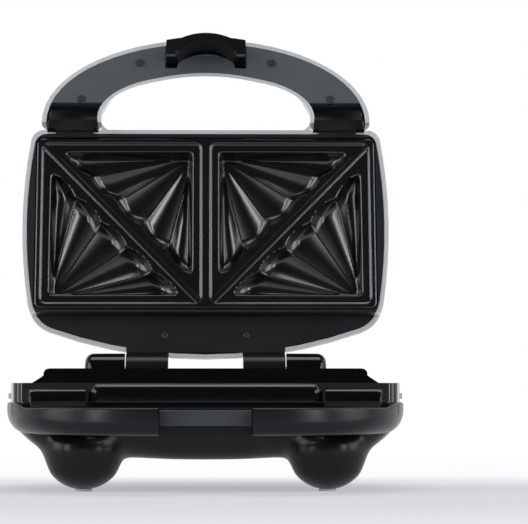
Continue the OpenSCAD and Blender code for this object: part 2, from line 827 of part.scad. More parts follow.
module lid_shell() {
    color("#c6c8ca") lid() difference() {
        union() {
            difference() {
                dome(0, lid_z, 0);
                dome(rim_w, lid_z - over, wall);
            }
            skin(bar_rings(grip_section));
            both() box(link_in, link_out + rim_w, root_y - 1.5, root_y + 2.5, lid_z, lid_z + 2.5);
            at(handle_screw_pts) post(0, 0, grip_z + cover_t, grip_top - wall / 2, boss_r);
            at(frame_screw_pts) post(0, 0, recess_z + wall, closed_h - 7.5, boss_r);
            post(0, lamp_d, closed_h - lamp_l, closed_h - wall / 2, boss_r);
        }
        box(-hw - 2, hw + 2, recess_y, rear_depth + 2, lid_z - over, recess_z);
        tower_room();
        both() box(arm_in - fit_gap, arm_out + fit_gap, rear_depth - 12, rear_depth + 2,
            lid_z - over, hinge_z + arm_r + fit_gap);
        both() post(lamp_pitch / 2, lamp_d, closed_h - 12, closed_h + over, lamp_r);
        at(handle_screw_pts) post(0, 0, grip_z, grip_z + grip_screw_l + 0.5, screw_r + screw_play);
        at(frame_screw_pts) post(0, 0, recess_z, recess_z + frame_screw_l + 1, screw_r + screw_play);
    }
}

module lid_frame() {
    color("#2b2e30") lid() difference() {
        union() {
            difference() {
                intersection() {
                    union() {
                        plan(lid_inset, face_z, lid_z + dome_edge);
                        plan(lid_inset + 0.7, face_z, recess_z + wall);
                    }
                    union() {
                        box(-hw, hw, front_y, recess_y, face_z, 2 * mid_z - tray_top);
                        box(-hw, hw, recess_y - 2, recess_y, face_z, recess_z + wall);
                        box(-hw, hw, recess_y - 2, rear_depth, recess_z, recess_z + wall);
                    }
                }
                turned() {
                    slab(open_w, open_d, plate_corner, seat_z, plate_z + over);
                    slab(2 * seat_x, 2 * seat_y, seat_corner, foot_z, plate_z + over);
                }
            }
            // Tongues over the handle roots, their front steps, and the links to the frame
            bar_part(rim_w + tongue_in, wall + tongue_in, cover_y, root_y, tongue_z, tongue_z + tongue_t);
            bar_part(rim_w + tongue_in, wall + tongue_in, cover_y, cover_y + step_t,
                roll_z - over, tongue_z + over);
            bar_part(rim_w, wall, cover_y, cover_y + step_t, grip_z + cover_t, roll_z);
            both() {
                box(link_in, link_out, root_y - over, root_y + step_t, tongue_z, tongue_z + tongue_t);
                box(link_in, link_out, root_y + 0.1, root_y + step_t, tongue_z, lid_z);
                box(link_in, link_out, root_y + 0.1, root_y + 5.5, face_z - 0.9, lid_z);
            }
            both() {
                along_x(arm_in, arm_out, hinge_y, hinge_z, arm_r);
                box(arm_in, arm_out, rear_depth - 10, hinge_y, recess_z, hinge_z + arm_r);
            }
        }
        both() {
            along_x(arm_out, tower_out + over, hinge_y, hinge_z, tower_r + swing_gap);
            along_x(arm_in + pin_end - 0.2, arm_out + over, hinge_y, hinge_z, hinge_pin_r + pin_play);
        }
        at(frame_screw_pts) {
            post(0, 0, recess_z - over, recess_z + head_t - head_out, head_r + fit_gap);
            post(0, 0, recess_z, closed_h, screw_r + screw_play);
        }
        at(handle_screw_pts) post(0, 0, grip_z, grip_top, boss_r + fit_gap);
    }
}

module handle_cover() {
    color("#484c4f") lid() difference() {
        union() {
            bar_part(rim_w, wall, bar_front, cover_y, grip_z, grip_z + cover_t);
            both() box(notch_hw, notch_hw + cheek_t, pin_y - cheek_y, pin_y + cheek_y,
                grip_z + cover_t, grip_z + cover_t + cheek_h);
        }
        notch(notch_y + 1.5, 0, closed_h);
        at(handle_screw_pts) {
            post(0, 0, 0, grip_z + head_t - head_out, head_r + fit_gap);
            post(0, 0, 0, closed_h, screw_r + screw_play);
        }
        along_x(-hw, hw, pin_y, latch_pin_z, latch_pin_r + press_play);
    }
}

module handle_screws() {
    color("#9ea1a3") lid() at(handle_screw_pts)
        screw(grip_z - head_out, grip_z, grip_z + grip_screw_l);
}

module frame_screws() {
    color("#9ea1a3") lid() at(frame_screw_pts)
        screw(recess_z - head_out, recess_z, recess_z + frame_screw_l);
}

module upper_plate() { color("#141416") lid() turned() cooking_plate(); }
module upper_element() { color("#8b8d90") lid() turned() element(); }
module upper_reflector() { color("#c9cbcd") lid() turned() reflector(); }
module upper_plate_screws() { color("#aeb1b4") lid() turned() plate_screws(); }

module lamp(x) {
    lid() translate([x, lamp_d, 0]) {
        post(0, 0, closed_h - lamp_l, closed_h - 0.4, lamp_r - 0.15);
        post(0, 0, closed_h - 7.6, closed_h - 5.6, lamp_r + 1);
    }
}

module power_lamp() { color("#a31f1c") lamp(-lamp_pitch / 2); }
module ready_lamp() { color("#2f7a3a") lamp(lamp_pitch / 2); }

module lamp_board() {
    w = lamp_pitch / 2 + board_x;
    color("#3c5a45") lid() box(-w, w, lamp_d - board_y, lamp_d + board_y,
        closed_h - lamp_l - board_t, closed_h - lamp_l);
}

module latch_pin() {
    color("#9da0a3") lid() along_x(-notch_hw - cheek_t, notch_hw + cheek_t, pin_y, latch_pin_z, latch_pin_r);
}

module latch_spring() {
    rings = 8 * spring_turns;
    half = eye_gap / 2 - wire_r - 0.1;
    color("#b7babd") lid() translate([0, pin_y, latch_pin_z]) skin([for (k = [0:rings])
        let (a = 360 * k / 8, e = [0, cos(a), sin(a)], c = [half - 2 * half * k / rings, 0, 0] + spring_r * e)
        [for (s = [0:5]) c + wire_r * (cos(60 * s) * e + [-sin(60 * s), 0, 0])]]);
}

/* Latch */

module latch() {
    r = (pow(arch_w, 2) / 4 + pow(arch_deep, 2)) / (2 * arch_deep);
    lip = [[-lip_w / 2, 0], [-lip_w / 2 + 5, lip_reach], [lip_w / 2 - 5, lip_reach], [lip_w / 2, 0]];
    hl = latch_w / 2;
    lip_r = (pow(lip_w, 2) / 4 + pow(lip_reach, 2)) / (2 * lip_reach);
    spine_r = (pow(latch_w, 2) / 4 + pow(spine_reach, 2)) / (2 * spine_reach);
    color("#17181a") lid() difference() {
        union() {
            difference() {
                union() {
                    box(-hl, hl, -latch_front, -latch_d, latch_z, latch_top);
                    intersection() {
                        union() {
                            post(0, spine_r - latch_front - spine_reach, latch_z, latch_top, spine_r);
                            post(0, lip_r - latch_front - lip_reach, latch_z, lip_top, lip_r);
                        }
                        box(-hl, hl, -latch_front - lip_reach - over, -latch_d - over, latch_z, latch_top);
                    }
                }
                post(0, r - latch_d - arch_deep, latch_z - over, latch_top + over, r);
            }
            both() box(arch_w / 2 + 2, hl, -latch_d - over, -latch_d + claw_reach, latch_z, latch_z + claw_h);
            both() box(arch_w / 2 + 1, hl, -latch_front, -latch_d, latch_top - 2, latch_pin_z);
            both() along_x(arch_w / 2 + 1, hl, pin_y, latch_pin_z, latch_eye_r);
        }
        along_x(-hw, hw, pin_y, latch_pin_z, latch_pin_r + pin_play);
    }
}

lower_housing();
base_frame();
lower_handle_cover();
lower_plate();
lower_element();
lower_reflector();
thermostat();
thermal_fuse();
terminal_block();
foot_pads();
housing_screws();
lower_plate_screws();
side_trims();
hinge_pins();
cord_gland();
lid_shell();
lid_frame();
handle_cover();
handle_screws();
frame_screws();
upper_plate();
upper_element();
upper_reflector();
upper_plate_screws();
power_lamp();
ready_lamp();
lamp_board();
latch_pin();
latch_spring();
latch();
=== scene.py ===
import bpy
import json
import math
from mathutils import Matrix, Vector

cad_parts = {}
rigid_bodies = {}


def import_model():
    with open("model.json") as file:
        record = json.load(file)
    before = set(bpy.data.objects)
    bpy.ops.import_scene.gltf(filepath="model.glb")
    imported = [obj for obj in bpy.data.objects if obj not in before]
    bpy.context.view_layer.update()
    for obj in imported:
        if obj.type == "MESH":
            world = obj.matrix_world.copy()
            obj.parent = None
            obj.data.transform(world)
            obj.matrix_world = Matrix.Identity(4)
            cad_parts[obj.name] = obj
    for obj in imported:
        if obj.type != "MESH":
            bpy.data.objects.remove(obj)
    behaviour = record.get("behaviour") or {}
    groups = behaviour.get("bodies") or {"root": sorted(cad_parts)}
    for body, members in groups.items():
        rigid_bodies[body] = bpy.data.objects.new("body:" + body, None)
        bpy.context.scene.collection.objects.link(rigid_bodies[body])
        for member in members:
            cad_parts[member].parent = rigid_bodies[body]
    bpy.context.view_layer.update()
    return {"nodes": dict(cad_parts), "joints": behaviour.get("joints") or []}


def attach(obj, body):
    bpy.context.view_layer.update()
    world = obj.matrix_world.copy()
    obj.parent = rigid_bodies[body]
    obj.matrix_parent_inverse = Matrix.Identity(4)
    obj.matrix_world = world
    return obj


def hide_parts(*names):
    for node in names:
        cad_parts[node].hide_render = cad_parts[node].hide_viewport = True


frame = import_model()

nodes = frame["nodes"]
meshOps = bpy.ops.mesh
mm = 0.001

# Hinge axis, open angle and plate middle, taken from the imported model
hingePoint = Vector(next(j for j in frame["joints"] if j["name"] == "lid_hinge")["pos_m"])
openAngle = math.radians(105)
middleY = hingePoint.y - 104 * mm
lidTurn = (Matrix.Translation(hingePoint) @ Matrix.Rotation(-openAngle, 4, "X")
           @ Matrix.Translation(-hingePoint))


# Helpers for picking, adding, modifiers and finishing a piece

def deselectAll():
    for item in bpy.context.view_layer.objects:
        item.select_set(False)


def pickOnly(piece):
    deselectAll()
    piece.select_set(True)
    bpy.context.view_layer.objects.active = piece


def addShape(operator, **settings):
    deselectAll()
    operator(**settings)
    return bpy.context.view_layer.objects.active


def duplicateOf(source):
    pickOnly(source)
    bpy.ops.object.duplicate()
    return bpy.context.view_layer.objects.active


def applyTransform():
    bpy.ops.object.transform_apply(location=True, rotation=True, scale=True)


def applyModifier(piece, kind, **settings):
    pickOnly(piece)
    modifier = piece.modifiers.new(kind.title(), kind)
    for key, value in settings.items():
        setattr(modifier, key, value)
    bpy.ops.object.modifier_apply(modifier=modifier.name)


def bevelSharp(piece, width, segments, angle, **settings):
    applyModifier(piece, "BEVEL", width=width * mm, segments=segments, limit_method="ANGLE",
                  angle_limit=math.radians(angle), **settings)


def evenNormals(piece):
    applyModifier(piece, "WEIGHTED_NORMAL", mode="FACE_AREA", weight=60, keep_sharp=True)


def smoothByAngle(piece, degrees):
    pickOnly(piece)
    bpy.ops.object.shade_smooth_by_angle(angle=math.radians(degrees), keep_sharp_edges=False)


# Mesh operators run one by one, each on the whole piece
def editMesh(piece, *steps):
    pickOnly(piece)
    bpy.ops.object.mode_set(mode="EDIT")
    for operator, settings in steps:
        meshOps.select_all(action="SELECT")
        operator(**settings)
    bpy.ops.object.mode_set(mode="OBJECT")


def finishPiece(piece, name, body, material, replaced=()):
    pickOnly(piece)
    applyTransform()
    piece.name = name
    piece.data.name = name
    piece.data.materials.clear()
    piece.data.materials.append(material)
    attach(piece, body)
    if replaced:
        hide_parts(*replaced)
    return piece


# A copy of a CAD node with its edges rounded, to stand for it
copyValues = {"merge": 0.004, "flat": 0.6, "corner": 34, "smooth": 42, "segments": 3}


def roundedCopy(nodeName, edge, reshape=None):
    values = copyValues
    source = nodes[nodeName]
    hidden = source.hide_viewport
    source.hide_viewport = False
    piece = duplicateOf(source)
    source.hide_viewport = hidden
    for key in list(piece.keys()):
        if key.startswith("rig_"):
            del piece[key]
    piece.parent = None
    editMesh(piece, (meshOps.remove_doubles, {"threshold": values["merge"] * mm}),
             (meshOps.dissolve_limited, {"angle_limit": math.radians(values["flat"])}))
    if reshape:
        reshape(piece)
    bevelSharp(piece, edge, values["segments"], values["corner"], use_clamp_overlap=True,
               miter_outer="MITER_ARC", harden_normals=False)
    smoothByAngle(piece, values["smooth"])
    evenNormals(piece)
    return piece


# A grid whose rows and columns are laid out one by one, then welded
def bentGrid(countU, countV, place, closeEnds=True):
    piece = addShape(meshOps.primitive_grid_add, x_subdivisions=countU, y_subdivisions=countV, size=1.0)
    for vertex in piece.data.vertices:
        column = round((vertex.co.x + 0.5) * countU)
        row = round((vertex.co.y + 0.5) * countV)
        x, y, z = place(column, row)
        vertex.co = (x * mm, y * mm + middleY, z * mm)
    steps = [(meshOps.remove_doubles, {"threshold": 0.003 * mm})]
    if closeEnds:
        steps.append((meshOps.fill_holes, {"sides": 0}))
    editMesh(piece, *steps, (meshOps.normals_make_consistent, {"inside": False}))
    return piece


# A box given by its corners in the plate frame, with rounded edges
def roundBox(low, high, edge, segments=3):
    piece = addShape(meshOps.primitive_cube_add, size=1.0)
    for vertex in piece.data.vertices:
        corner = [high[i] if vertex.co[i] > 0 else low[i] for i in range(3)]
        vertex.co = (corner[0] * mm, corner[1] * mm + middleY, corner[2] * mm)
    if edge > 0:
        bevelSharp(piece, edge, segments, 30)
    return piece


def cutAway(piece, cutter):
    applyModifier(piece, "BOOLEAN", object=cutter, operation="DIFFERENCE", solver="EXACT")
    bpy.data.objects.remove(cutter, do_unlink=True)


def joinPieces(first, others):
    deselectAll()
    for other in others:
        other.select_set(True)
    first.select_set(True)
    bpy.context.view_layer.objects.active = first
    bpy.ops.object.join()
    return first


# Helpers for shader nodes. Each input takes a value or another node's output

def setInputs(tree, node, inputs):
    for key, value in inputs.items():
        if isinstance(value, bpy.types.NodeSocket):
            tree.links.new(value, node.inputs[key])
        else:
            node.inputs[key].default_value = value


def addNode(tree, kind, inputs=None, **settings):
    node = tree.nodes.new("ShaderNode" + kind)
    for key, value in settings.items():
        setattr(node, key, value)
    setInputs(tree, node, inputs or {})
    return node


def ramp(tree, source, low, high, fromMin=0.3, fromMax=0.7):
    node = addNode(tree, "MapRange", {"From Min": fromMin, "From Max": fromMax, "To Min": low,
                                      "To Max": high, "Value": source})
    return node.outputs["Result"]


def mixColour(tree, mask, first, second):
    first, second = [(*c, 1.0) if isinstance(c, tuple) else c for c in (first, second)]
    return addNode(tree, "Mix", {6: first, 7: second, 0: mask}, data_type="RGBA").outputs[2]


def mixShader(tree, share, first, second):
    return addNode(tree, "MixShader", {0: share, 1: first, 2: second}).outputs["Shader"]


def combine(tree, operation, first, second):
    return addNode(tree, "Math", {0: first, 1: second}, operation=operation).outputs["Value"]


def bumpOf(tree, height, strength, depth):
    node = addNode(tree, "Bump", {"Strength": strength, "Distance": depth * mm, "Height": height})
    return node.outputs["Normal"]


def toned(colour, factor):
    return tuple(factor * c for c in colour)


# Node groups shared by the materials

def newGroup(name, inputs, outputs):
    group = bpy.data.node_groups.new(name, "ShaderNodeTree")
    for label, kind, value in inputs:
        socket = group.interface.new_socket(label, in_out="INPUT", socket_type=kind)
        if value is not None:
            socket.default_value = value
    for label in outputs:
        group.interface.new_socket(label, in_out="OUTPUT", socket_type="NodeSocketFloat")
    start = group.nodes.new("NodeGroupInput")
    end = group.nodes.new("NodeGroupOutput")
    return group, start.outputs, end


# Fine spark-eroded grain of moulded plastic: height for a bump, and a mask that varies gloss
def buildGrain():
    group, given, end = newGroup("mouldedGrain", [
        ("Vector", "NodeSocketVector", None), ("Grain Scale", "NodeSocketFloat", 900.0),
        ("Cloud Scale", "NodeSocketFloat", 22.0)], ["Height", "Mask"])
    fine = addNode(group, "TexNoise", {"Vector": given["Vector"], "Scale": given["Grain Scale"],
                                       "Detail": 3.0, "Roughness": 0.6})
    cloud = addNode(group, "TexNoise", {"Vector": given["Vector"], "Scale": given["Cloud Scale"],
                                        "Detail": 4.0})
    setInputs(group, end, {"Height": fine.outputs["Fac"], "Mask": cloud.outputs["Fac"]})
    return group


# Dust and fine scuffs that lie on faces turned upwards
def buildDust():
    group, given, end = newGroup("settledDust", [
        ("Vector", "NodeSocketVector", None), ("Scale", "NodeSocketFloat", 160.0),
        ("Amount", "NodeSocketFloat", 0.3)], ["Mask"])
    geometry = addNode(group, "NewGeometry")
    split = addNode(group, "SeparateXYZ", {"Vector": geometry.outputs["Normal"]})
    specks = addNode(group, "TexNoise", {"Vector": given["Vector"], "Scale": given["Scale"],
                                         "Detail": 8.0, "Roughness": 0.75})
    up = ramp(group, split.outputs["Z"], 0.0, 1.0, 0.55, 1.0)
    sharp = ramp(group, specks.outputs["Fac"], 0.0, 1.0, 0.5, 0.8)
    lying = combine(group, "MULTIPLY", up, sharp)
    setInputs(group, end, {"Mask": combine(group, "MULTIPLY", lying, given["Amount"])})
    return group


grainGroup = buildGrain()
dustGroup = buildDust()
dustColour = (0.32, 0.32, 0.33)
# Painted shade: the black mixed into a material below a given height
shadeBlack = (0.0025, 0.0025, 0.003)


def startMaterial(name):
    material = bpy.data.materials.new(name)
    material.use_nodes = True
    tree = material.node_tree
    return material, tree, tree.nodes["Principled BSDF"], addNode(tree, "TexCoord").outputs["Object"]


# Moulded plastic in any colour and gloss, with painted shade (black) below a height where one is given
def plastic(name, colour, tone, rough, grainScale=900.0, bump=0.05, dust=0.25, coat=0.0,
            specular=0.5, shadeBelow=None):
    material, tree, shader, place = startMaterial(name)
    grain = addNode(tree, "Group", {"Vector": place, "Grain Scale": grainScale},
                    node_tree=grainGroup).outputs
    specks = addNode(tree, "Group", {"Vector": place, "Amount": dust}, node_tree=dustGroup).outputs
    clean = mixColour(tree, ramp(tree, grain["Mask"], 0.0, 1.0), colour, tone)
    surface = mixColour(tree, specks["Mask"], clean, dustColour)
    # Painted shade: below the given height the colour turns black
    if shadeBelow:
        split = addNode(tree, "SeparateXYZ", {"Vector": place})
        soft = 0.5 * mm
        mask = ramp(tree, split.outputs["Z"], 1.0, 0.0, shadeBelow - soft, shadeBelow + soft)
        surface = mixColour(tree, mask, surface, shadeBlack)
    setInputs(tree, shader, {
        "Base Color": surface, "Roughness": ramp(tree, grain["Mask"], *rough),
        "Normal": bumpOf(tree, grain["Height"], bump, 0.1), "Coat Weight": coat,
        "Coat Roughness": 0.12, "Specular IOR Level": specular})
    return material


# Satin silver paint with a fine metal flake
def silverPaint(name, colour, rough):
    material, tree, shader, place = startMaterial(name)
    flakes = addNode(tree, "TexVoronoi", {"Vector": place, "Scale": 2600.0})
    cloud = addNode(tree, "TexNoise", {"Vector": place, "Scale": 30.0, "Detail": 4.0})
    split = addNode(tree, "SeparateColor", {"Color": flakes.outputs["Color"]})
    flake = ramp(tree, split.outputs["Red"], 0.0, 1.0, 0.0, 1.0)
    setInputs(tree, shader, {
        "Base Color": mixColour(tree, flake, toned(colour, 0.86), colour),
        "Roughness": ramp(tree, cloud.outputs["Fac"], rough - 0.04, rough + 0.05),
        "Normal": bumpOf(tree, split.outputs["Green"], 0.06, 0.05), "Metallic": 0.5,
        "Coat Weight": 0.15, "Coat Roughness": 0.25})
    return material


# Non-stick coating: a dark film with specks and a fine orange peel
def nonStick(name, colour, rough):
    material, tree, shader, place = startMaterial(name)
    specks = addNode(tree, "TexVoronoi", {"Vector": place, "Scale": 1500.0})
    peel = addNode(tree, "TexNoise", {"Vector": place, "Scale": 700.0, "Detail": 2.0})
    cloud = addNode(tree, "TexNoise", {"Vector": place, "Scale": 25.0, "Detail": 5.0})
    mask = ramp(tree, specks.outputs["Distance"], 1.0, 0.0, 0.02, 0.16)
    setInputs(tree, shader, {
        "Base Color": mixColour(tree, mask, colour, toned(colour, 2.2)),
        "Roughness": ramp(tree, cloud.outputs["Fac"], *rough),
        "Normal": bumpOf(tree, peel.outputs["Fac"], 0.08, 0.1), "Specular IOR Level": 0.8})
    return material


# Turned or drawn steel, with fine marks along one axis
def steel(name, colour, rough, stretch=(40, 40, 900), metallic=1.0):
    material, tree, shader, place = startMaterial(name)
    mapping = addNode(tree, "Mapping", {"Vector": place, "Scale": stretch})
    marks = addNode(tree, "TexNoise", {"Vector": mapping.outputs["Vector"], "Scale": 1.5,
                                       "Detail": 5.0}).outputs["Fac"]
    setInputs(tree, shader, {
        "Base Color": mixColour(tree, ramp(tree, marks, 0.0, 1.0), colour, toned(colour, 0.72)),
        "Roughness": ramp(tree, marks, rough - 0.06, rough + 0.1),
        "Normal": bumpOf(tree, marks, 0.1, 0.05), "Metallic": metallic})
    return material


finishes = {
    "housing": plastic("housingPlastic", (0.0036, 0.0042, 0.0052), (0.005, 0.0056, 0.0066),
                       (0.24, 0.3), grainScale=700.0, bump=0.12, dust=0.04, specular=0.24),
    "frame": plastic("framePlastic", (0.0013, 0.0014, 0.0017), (0.002, 0.0021, 0.0024),
                     (0.1, 0.14), grainScale=500.0, bump=0.03, dust=0.02, specular=0.4),
    # The liner turns black below 88 mm, painted shade on the lid's hinge arms
    "liner": plastic("linerPlastic", (0.009, 0.0105, 0.0115), (0.012, 0.0135, 0.0145),
                     (0.3, 0.37), grainScale=800.0, bump=0.08, dust=0.02, specular=0.35,
                     shadeBelow=0.088),
    "cover": plastic("coverPlastic", (0.046, 0.053, 0.057), (0.052, 0.059, 0.063),
                     (0.5, 0.6), grainScale=1000.0, bump=0.15, dust=0.02, specular=0.3),
    "latch": plastic("latchPlastic", (0.003, 0.0033, 0.0038), (0.0042, 0.0045, 0.005),
                     (0.2, 0.27), grainScale=700.0, bump=0.06, dust=0.02, specular=0.35),
    "legBlack": plastic("legBlackPlastic", (0.0014, 0.0015, 0.0018), (0.002, 0.0021, 0.0024),
                        (0.42, 0.5), grainScale=700.0, bump=0.06, dust=0.0, specular=0.22),
    "catch": plastic("catchPlastic", (0.024, 0.028, 0.031), (0.029, 0.033, 0.036),
                     (0.42, 0.5), grainScale=800.0, bump=0.1, dust=0.0),
    "silver": silverPaint("silverPaint", (0.7, 0.7, 0.695), 0.32),
    "plate": nonStick("nonStickCoating", (0.0022, 0.0024, 0.0028), (0.19, 0.25)),
    "pad": plastic("padRubber", (0.42, 0.4, 0.43), (0.48, 0.46, 0.49), (0.6, 0.7), bump=0.1),
    "ceramic": plastic("ceramicWhite", (0.62, 0.6, 0.55), (0.7, 0.68, 0.62), (0.3, 0.4), bump=0.05),
    "board": plastic("boardGreen", (0.02, 0.09, 0.04), (0.03, 0.11, 0.05), (0.35, 0.45), bump=0.05),
    "red": plastic("lensRed", (0.42, 0.012, 0.01), (0.5, 0.016, 0.012), (0.1, 0.14),
                   bump=0.02, coat=0.6),
    "green": plastic("lensGreen", (0.02, 0.22, 0.04), (0.03, 0.27, 0.05), (0.1, 0.14),
                     bump=0.02, coat=0.6),
    "screw": steel("screwSteel", (0.042, 0.046, 0.048), 0.36, metallic=0.3),
    "bright": steel("brightSteel", (0.5, 0.5, 0.51), 0.3),
    "sheet": steel("reflectorSheet", (0.6, 0.6, 0.6), 0.28, stretch=(30, 500, 30)),
    "sheath": steel("elementSheath", (0.2, 0.19, 0.185), 0.45, stretch=(60, 60, 60)),
}
for finish, nodeNames in {
        "housing": ("lower_housing", "lower_handle_cover"), "frame": ("base_frame",),
        "plate": ("lower_plate", "upper_plate"), "sheath": ("lower_element", "upper_element"),
        "sheet": ("lower_reflector", "upper_reflector"), "pad": ("foot_pads",),
        "ceramic": ("thermostat", "thermal_fuse", "terminal_block"),
        "bright": ("housing_screws", "lower_plate_screws", "upper_plate_screws", "hinge_pins",
                   "latch_pin", "latch_spring"),
        "silver": ("side_trims", "lid_shell"), "latch": ("cord_gland", "latch"),
        "liner": ("lid_frame",), "cover": ("handle_cover",), "board": ("lamp_board",),
        "screw": ("handle_screws", "frame_screws"), "red": ("power_lamp",),
        "green": ("ready_lamp",)}.items():
    for nodeName in nodeNames:
        nodes[nodeName].data.materials.clear()
        nodes[nodeName].data.materials.append(finishes[finish])
print("materials ready")


# Cooking plates: a fine grid pressed to the shape of the cells and their shell-shaped pockets
plateValues = {
    "width": 234.0, "depth": 123.5, "corner": 5.0, "rimTop": 67.0, "gap": 1.5, "spacing": 0.8,
    "cellHalf": (2.75, 113.4), "cellDepth": 116.3, "cellCorner": 4.5, "cellDrop": 1.5,
    "cellSlope": 1.1, "ridgeTop": 1.2, "ridgeSlope": 0.8, "ridgeLift": 0.85, "pocketInset": 6.0,
    "pocketLength": 88.0, "pocketDrop": 9.5, "fanFrom": 4, "flutes": 5, "scallop": 3.0,
    "crest": 4.2, "crestPower": 1.7, "legWall": 3.6, "rimWall": 7.5, "rollDrop": 0.9,
    "rollRun": 1.1, "thickness": 1.6, "barHalf": 1.75, "barLength": 157.0, "barEdge": 0.45,
    "barSink": 2.6, "barRise": 0.05, "barTrim": 2}


def clampUnit(value):
    return min(max(value, 0.0), 1.0)


def easeStep(value):
    value = clampUnit(value)
    return value * value * (3 - 2 * value)


# Fades in from low to full and out again from fade to high
def easeBand(value, low, full, fade, high):
    return easeStep((value - low) / (full - low)) * easeStep((high - value) / (high - fade))


# Rises from 0 to 1 along a quarter of a circle
def quarterRound(share):
    return math.sqrt(clampUnit(1 - (1 - clampUnit(share)) ** 2))


# Signed distance inside a rounded rectangle round (cx, cy), positive inside
def insideRounded(x, y, cx, cy, halfX, halfY, corner):
    dx = abs(x - cx) - (halfX - corner)
    dy = abs(y - cy) - (halfY - corner)
    outside = math.hypot(max(dx, 0.0), max(dy, 0.0)) - corner
    return -(outside + min(max(dx, dy), 0.0))


# Depth of a pocket at the distances u and v from its two straight walls
def pocketDrop(u, v, values):
    total = u + v
    if u <= 0 or v <= 0:
        return 0.0
    phase = v / total * values["flutes"]
    ridge = abs(2 * (phase - math.floor(phase)) - 1)
    reach = values["pocketLength"] + math.sqrt(2) * values["scallop"] * (1 - ridge ** 2)
    toEdge = (reach - total) / math.sqrt(2)
    if toEdge <= 0:
        return 0.0
    fan = clampUnit((total - values["fanFrom"]) / (values["pocketLength"] - 2 * values["fanFrom"]))
    depth = values["pocketDrop"] - values["crest"] * fan * ridge ** values["crestPower"]
    wall = easeStep(u / values["legWall"]) * easeStep(v / values["legWall"])
    return depth * wall * quarterRound(toEdge / values["rimWall"])


def plateHeight(x, y, values):
    inner, outer = values["cellHalf"]
    halfX, halfY = (outer - inner) / 2, values["cellDepth"] / 2
    px = abs(x)
    edge = insideRounded(px, y, (inner + outer) / 2, 0, halfX, halfY, values["cellCorner"])
    if edge <= 0:
        return 0.0
    drop = values["cellDrop"] * easeStep(edge / values["cellSlope"])
    # The diagonal ridge runs from the outer front corner to the inner rear corner
    angle = math.atan2(2 * halfY, -2 * halfX)
    away = abs((px - (inner + outer) / 2) * math.sin(angle) - y * math.cos(angle))
    lift = 1 - easeStep((away - values["ridgeTop"]) / values["ridgeSlope"])
    inset = values["pocketInset"]
    near = pocketDrop(px - inner - inset, y + halfY - inset, values)
    far = pocketDrop(outer - inset - px, halfY - inset - y, values)
    return -drop * (1 - values["ridgeLift"] * lift) - max(near, far)


def cookingPlate(name, nodeName, body, turned):
    values = plateValues
    width, depth, corner = values["width"], values["depth"], values["corner"]
    rim, gap = values["rimTop"], values["gap"]
    piece = addShape(meshOps.primitive_grid_add, x_subdivisions=int(width / values["spacing"]),
                     y_subdivisions=int(depth / values["spacing"]), size=1.0)
    piece.scale = (width * mm, depth * mm, 1.0)
    applyTransform()
    halfX, halfY = width / 2, depth / 2
    for vertex in piece.data.vertices:
        x, y = vertex.co.x / mm, vertex.co.y / mm
        # Vertices past the round corners are drawn in to them
        dx, dy = abs(x) - (halfX - corner), abs(y) - (halfY - corner)
        if dx > 0 and dy > 0 and math.hypot(dx, dy) > corner:
            pull = corner / math.hypot(dx, dy)
            x = math.copysign(halfX - corner + dx * pull, x)
            y = math.copysign(halfY - corner + dy * pull, y)
        edge = insideRounded(x, y, 0, 0, halfX, halfY, corner)
        roll = values["rollDrop"] * (1 - quarterRound(edge / values["rollRun"]))
        z = rim + (plateHeight(x, y, values) - roll)
        if turned:
            z = 2 * rim + gap - z
        vertex.co = (x * mm, y * mm + middleY, z * mm)
    if turned:
        editMesh(piece, (meshOps.flip_normals, {}))
    applyModifier(piece, "SOLIDIFY", thickness=values["thickness"] * mm, offset=-1.0)
    # The diagonal ridges stand crisp between the pockets
    inner, outer = values["cellHalf"]
    half, length, trim = values["barHalf"], values["barLength"], values["barTrim"]
    sink, rise = values["barSink"], values["barRise"]
    low, high = (rim + gap - rise, rim + gap + sink) if turned else (rim - sink, rim + rise)
    middle = Vector((0, middleY, 0))
    bars = []
    for side in (-1, 1):
        bar = roundBox((-half, -length / 2, low), (half, length / 2, high), values["barEdge"])
        turn = side * math.atan2(outer - inner - trim, values["cellDepth"] - trim)
        shift = Vector((side * (inner + outer) / 2 * mm, 0, 0)) + middle
        bar.data.transform(Matrix.Translation(shift) @ Matrix.Rotation(turn, 4, "Z")
                           @ Matrix.Translation(-middle))
        bars.append(bar)
    joinPieces(piece, bars)
    if turned:
        piece.data.transform(lidTurn)
    smoothByAngle(piece, 60)
    return finishPiece(piece, name, body, finishes["plate"], [nodeName])


cookingPlate("lowerCookingPlate", "lower_plate", "base", False)
cookingPlate("upperCookingPlate", "upper_plate", "lid", True)
print("cooking plates pressed")


# Lower housing: the belly with its four feet, one moulding
housingValues = {
    "halfWidth": 125.0, "sideRadius": 370.0, "rearRadius": 310.0, "cornerRadius": 22.0,
    "frontCorner": 9.0, "front": -67.0, "rear": 94.0, "rim": 55.0, "edge": 48.5, "belly": 21.0,
    "run": 32.0, "power": 1.38, "arcSteps": 18, "around": 260, "middle": 13, "wall": 2.4,
    "voxel": 1.35, "footRadius": 26.0, "footHeight": 26.9, "feet": ((75.7, -49.0), (80.7, 64.0)),
    "footSpan": (1.45, 36), "fillet": 20.0, "filletSteps": 190, "filletBand": (9, 18, 36, 42),
    "levelBand": (3, 7, 52, 54), "levelSteps": 6, "sag": 2.0, "sagHalf": 62, "sagFrom": 30,
    "sagFade": 8}


def arcPoints(centre, radius, start, end, count):
    return [(centre[0] + radius * math.cos(start + (end - start) * k / count),
             centre[1] + radius * math.sin(start + (end - start) * k / count))
            for k in range(count + 1)]


# The right-hand meeting point of two circles
def crossing(c1, r1, c2, r2):
    dx, dy = c2[0] - c1[0], c2[1] - c1[1]
    gap = math.hypot(dx, dy)
    along = (r1 * r1 - r2 * r2 + gap * gap) / (2 * gap)
    side = math.sqrt(max(r1 * r1 - along * along, 0.0))
    mx, my = c1[0] + dx * along / gap, c1[1] + dy * along / gap
    both = [(mx + side * dy / gap, my - side * dx / gap), (mx - side * dy / gap, my + side * dx / gap)]
    return max(both, key=lambda point: point[0])


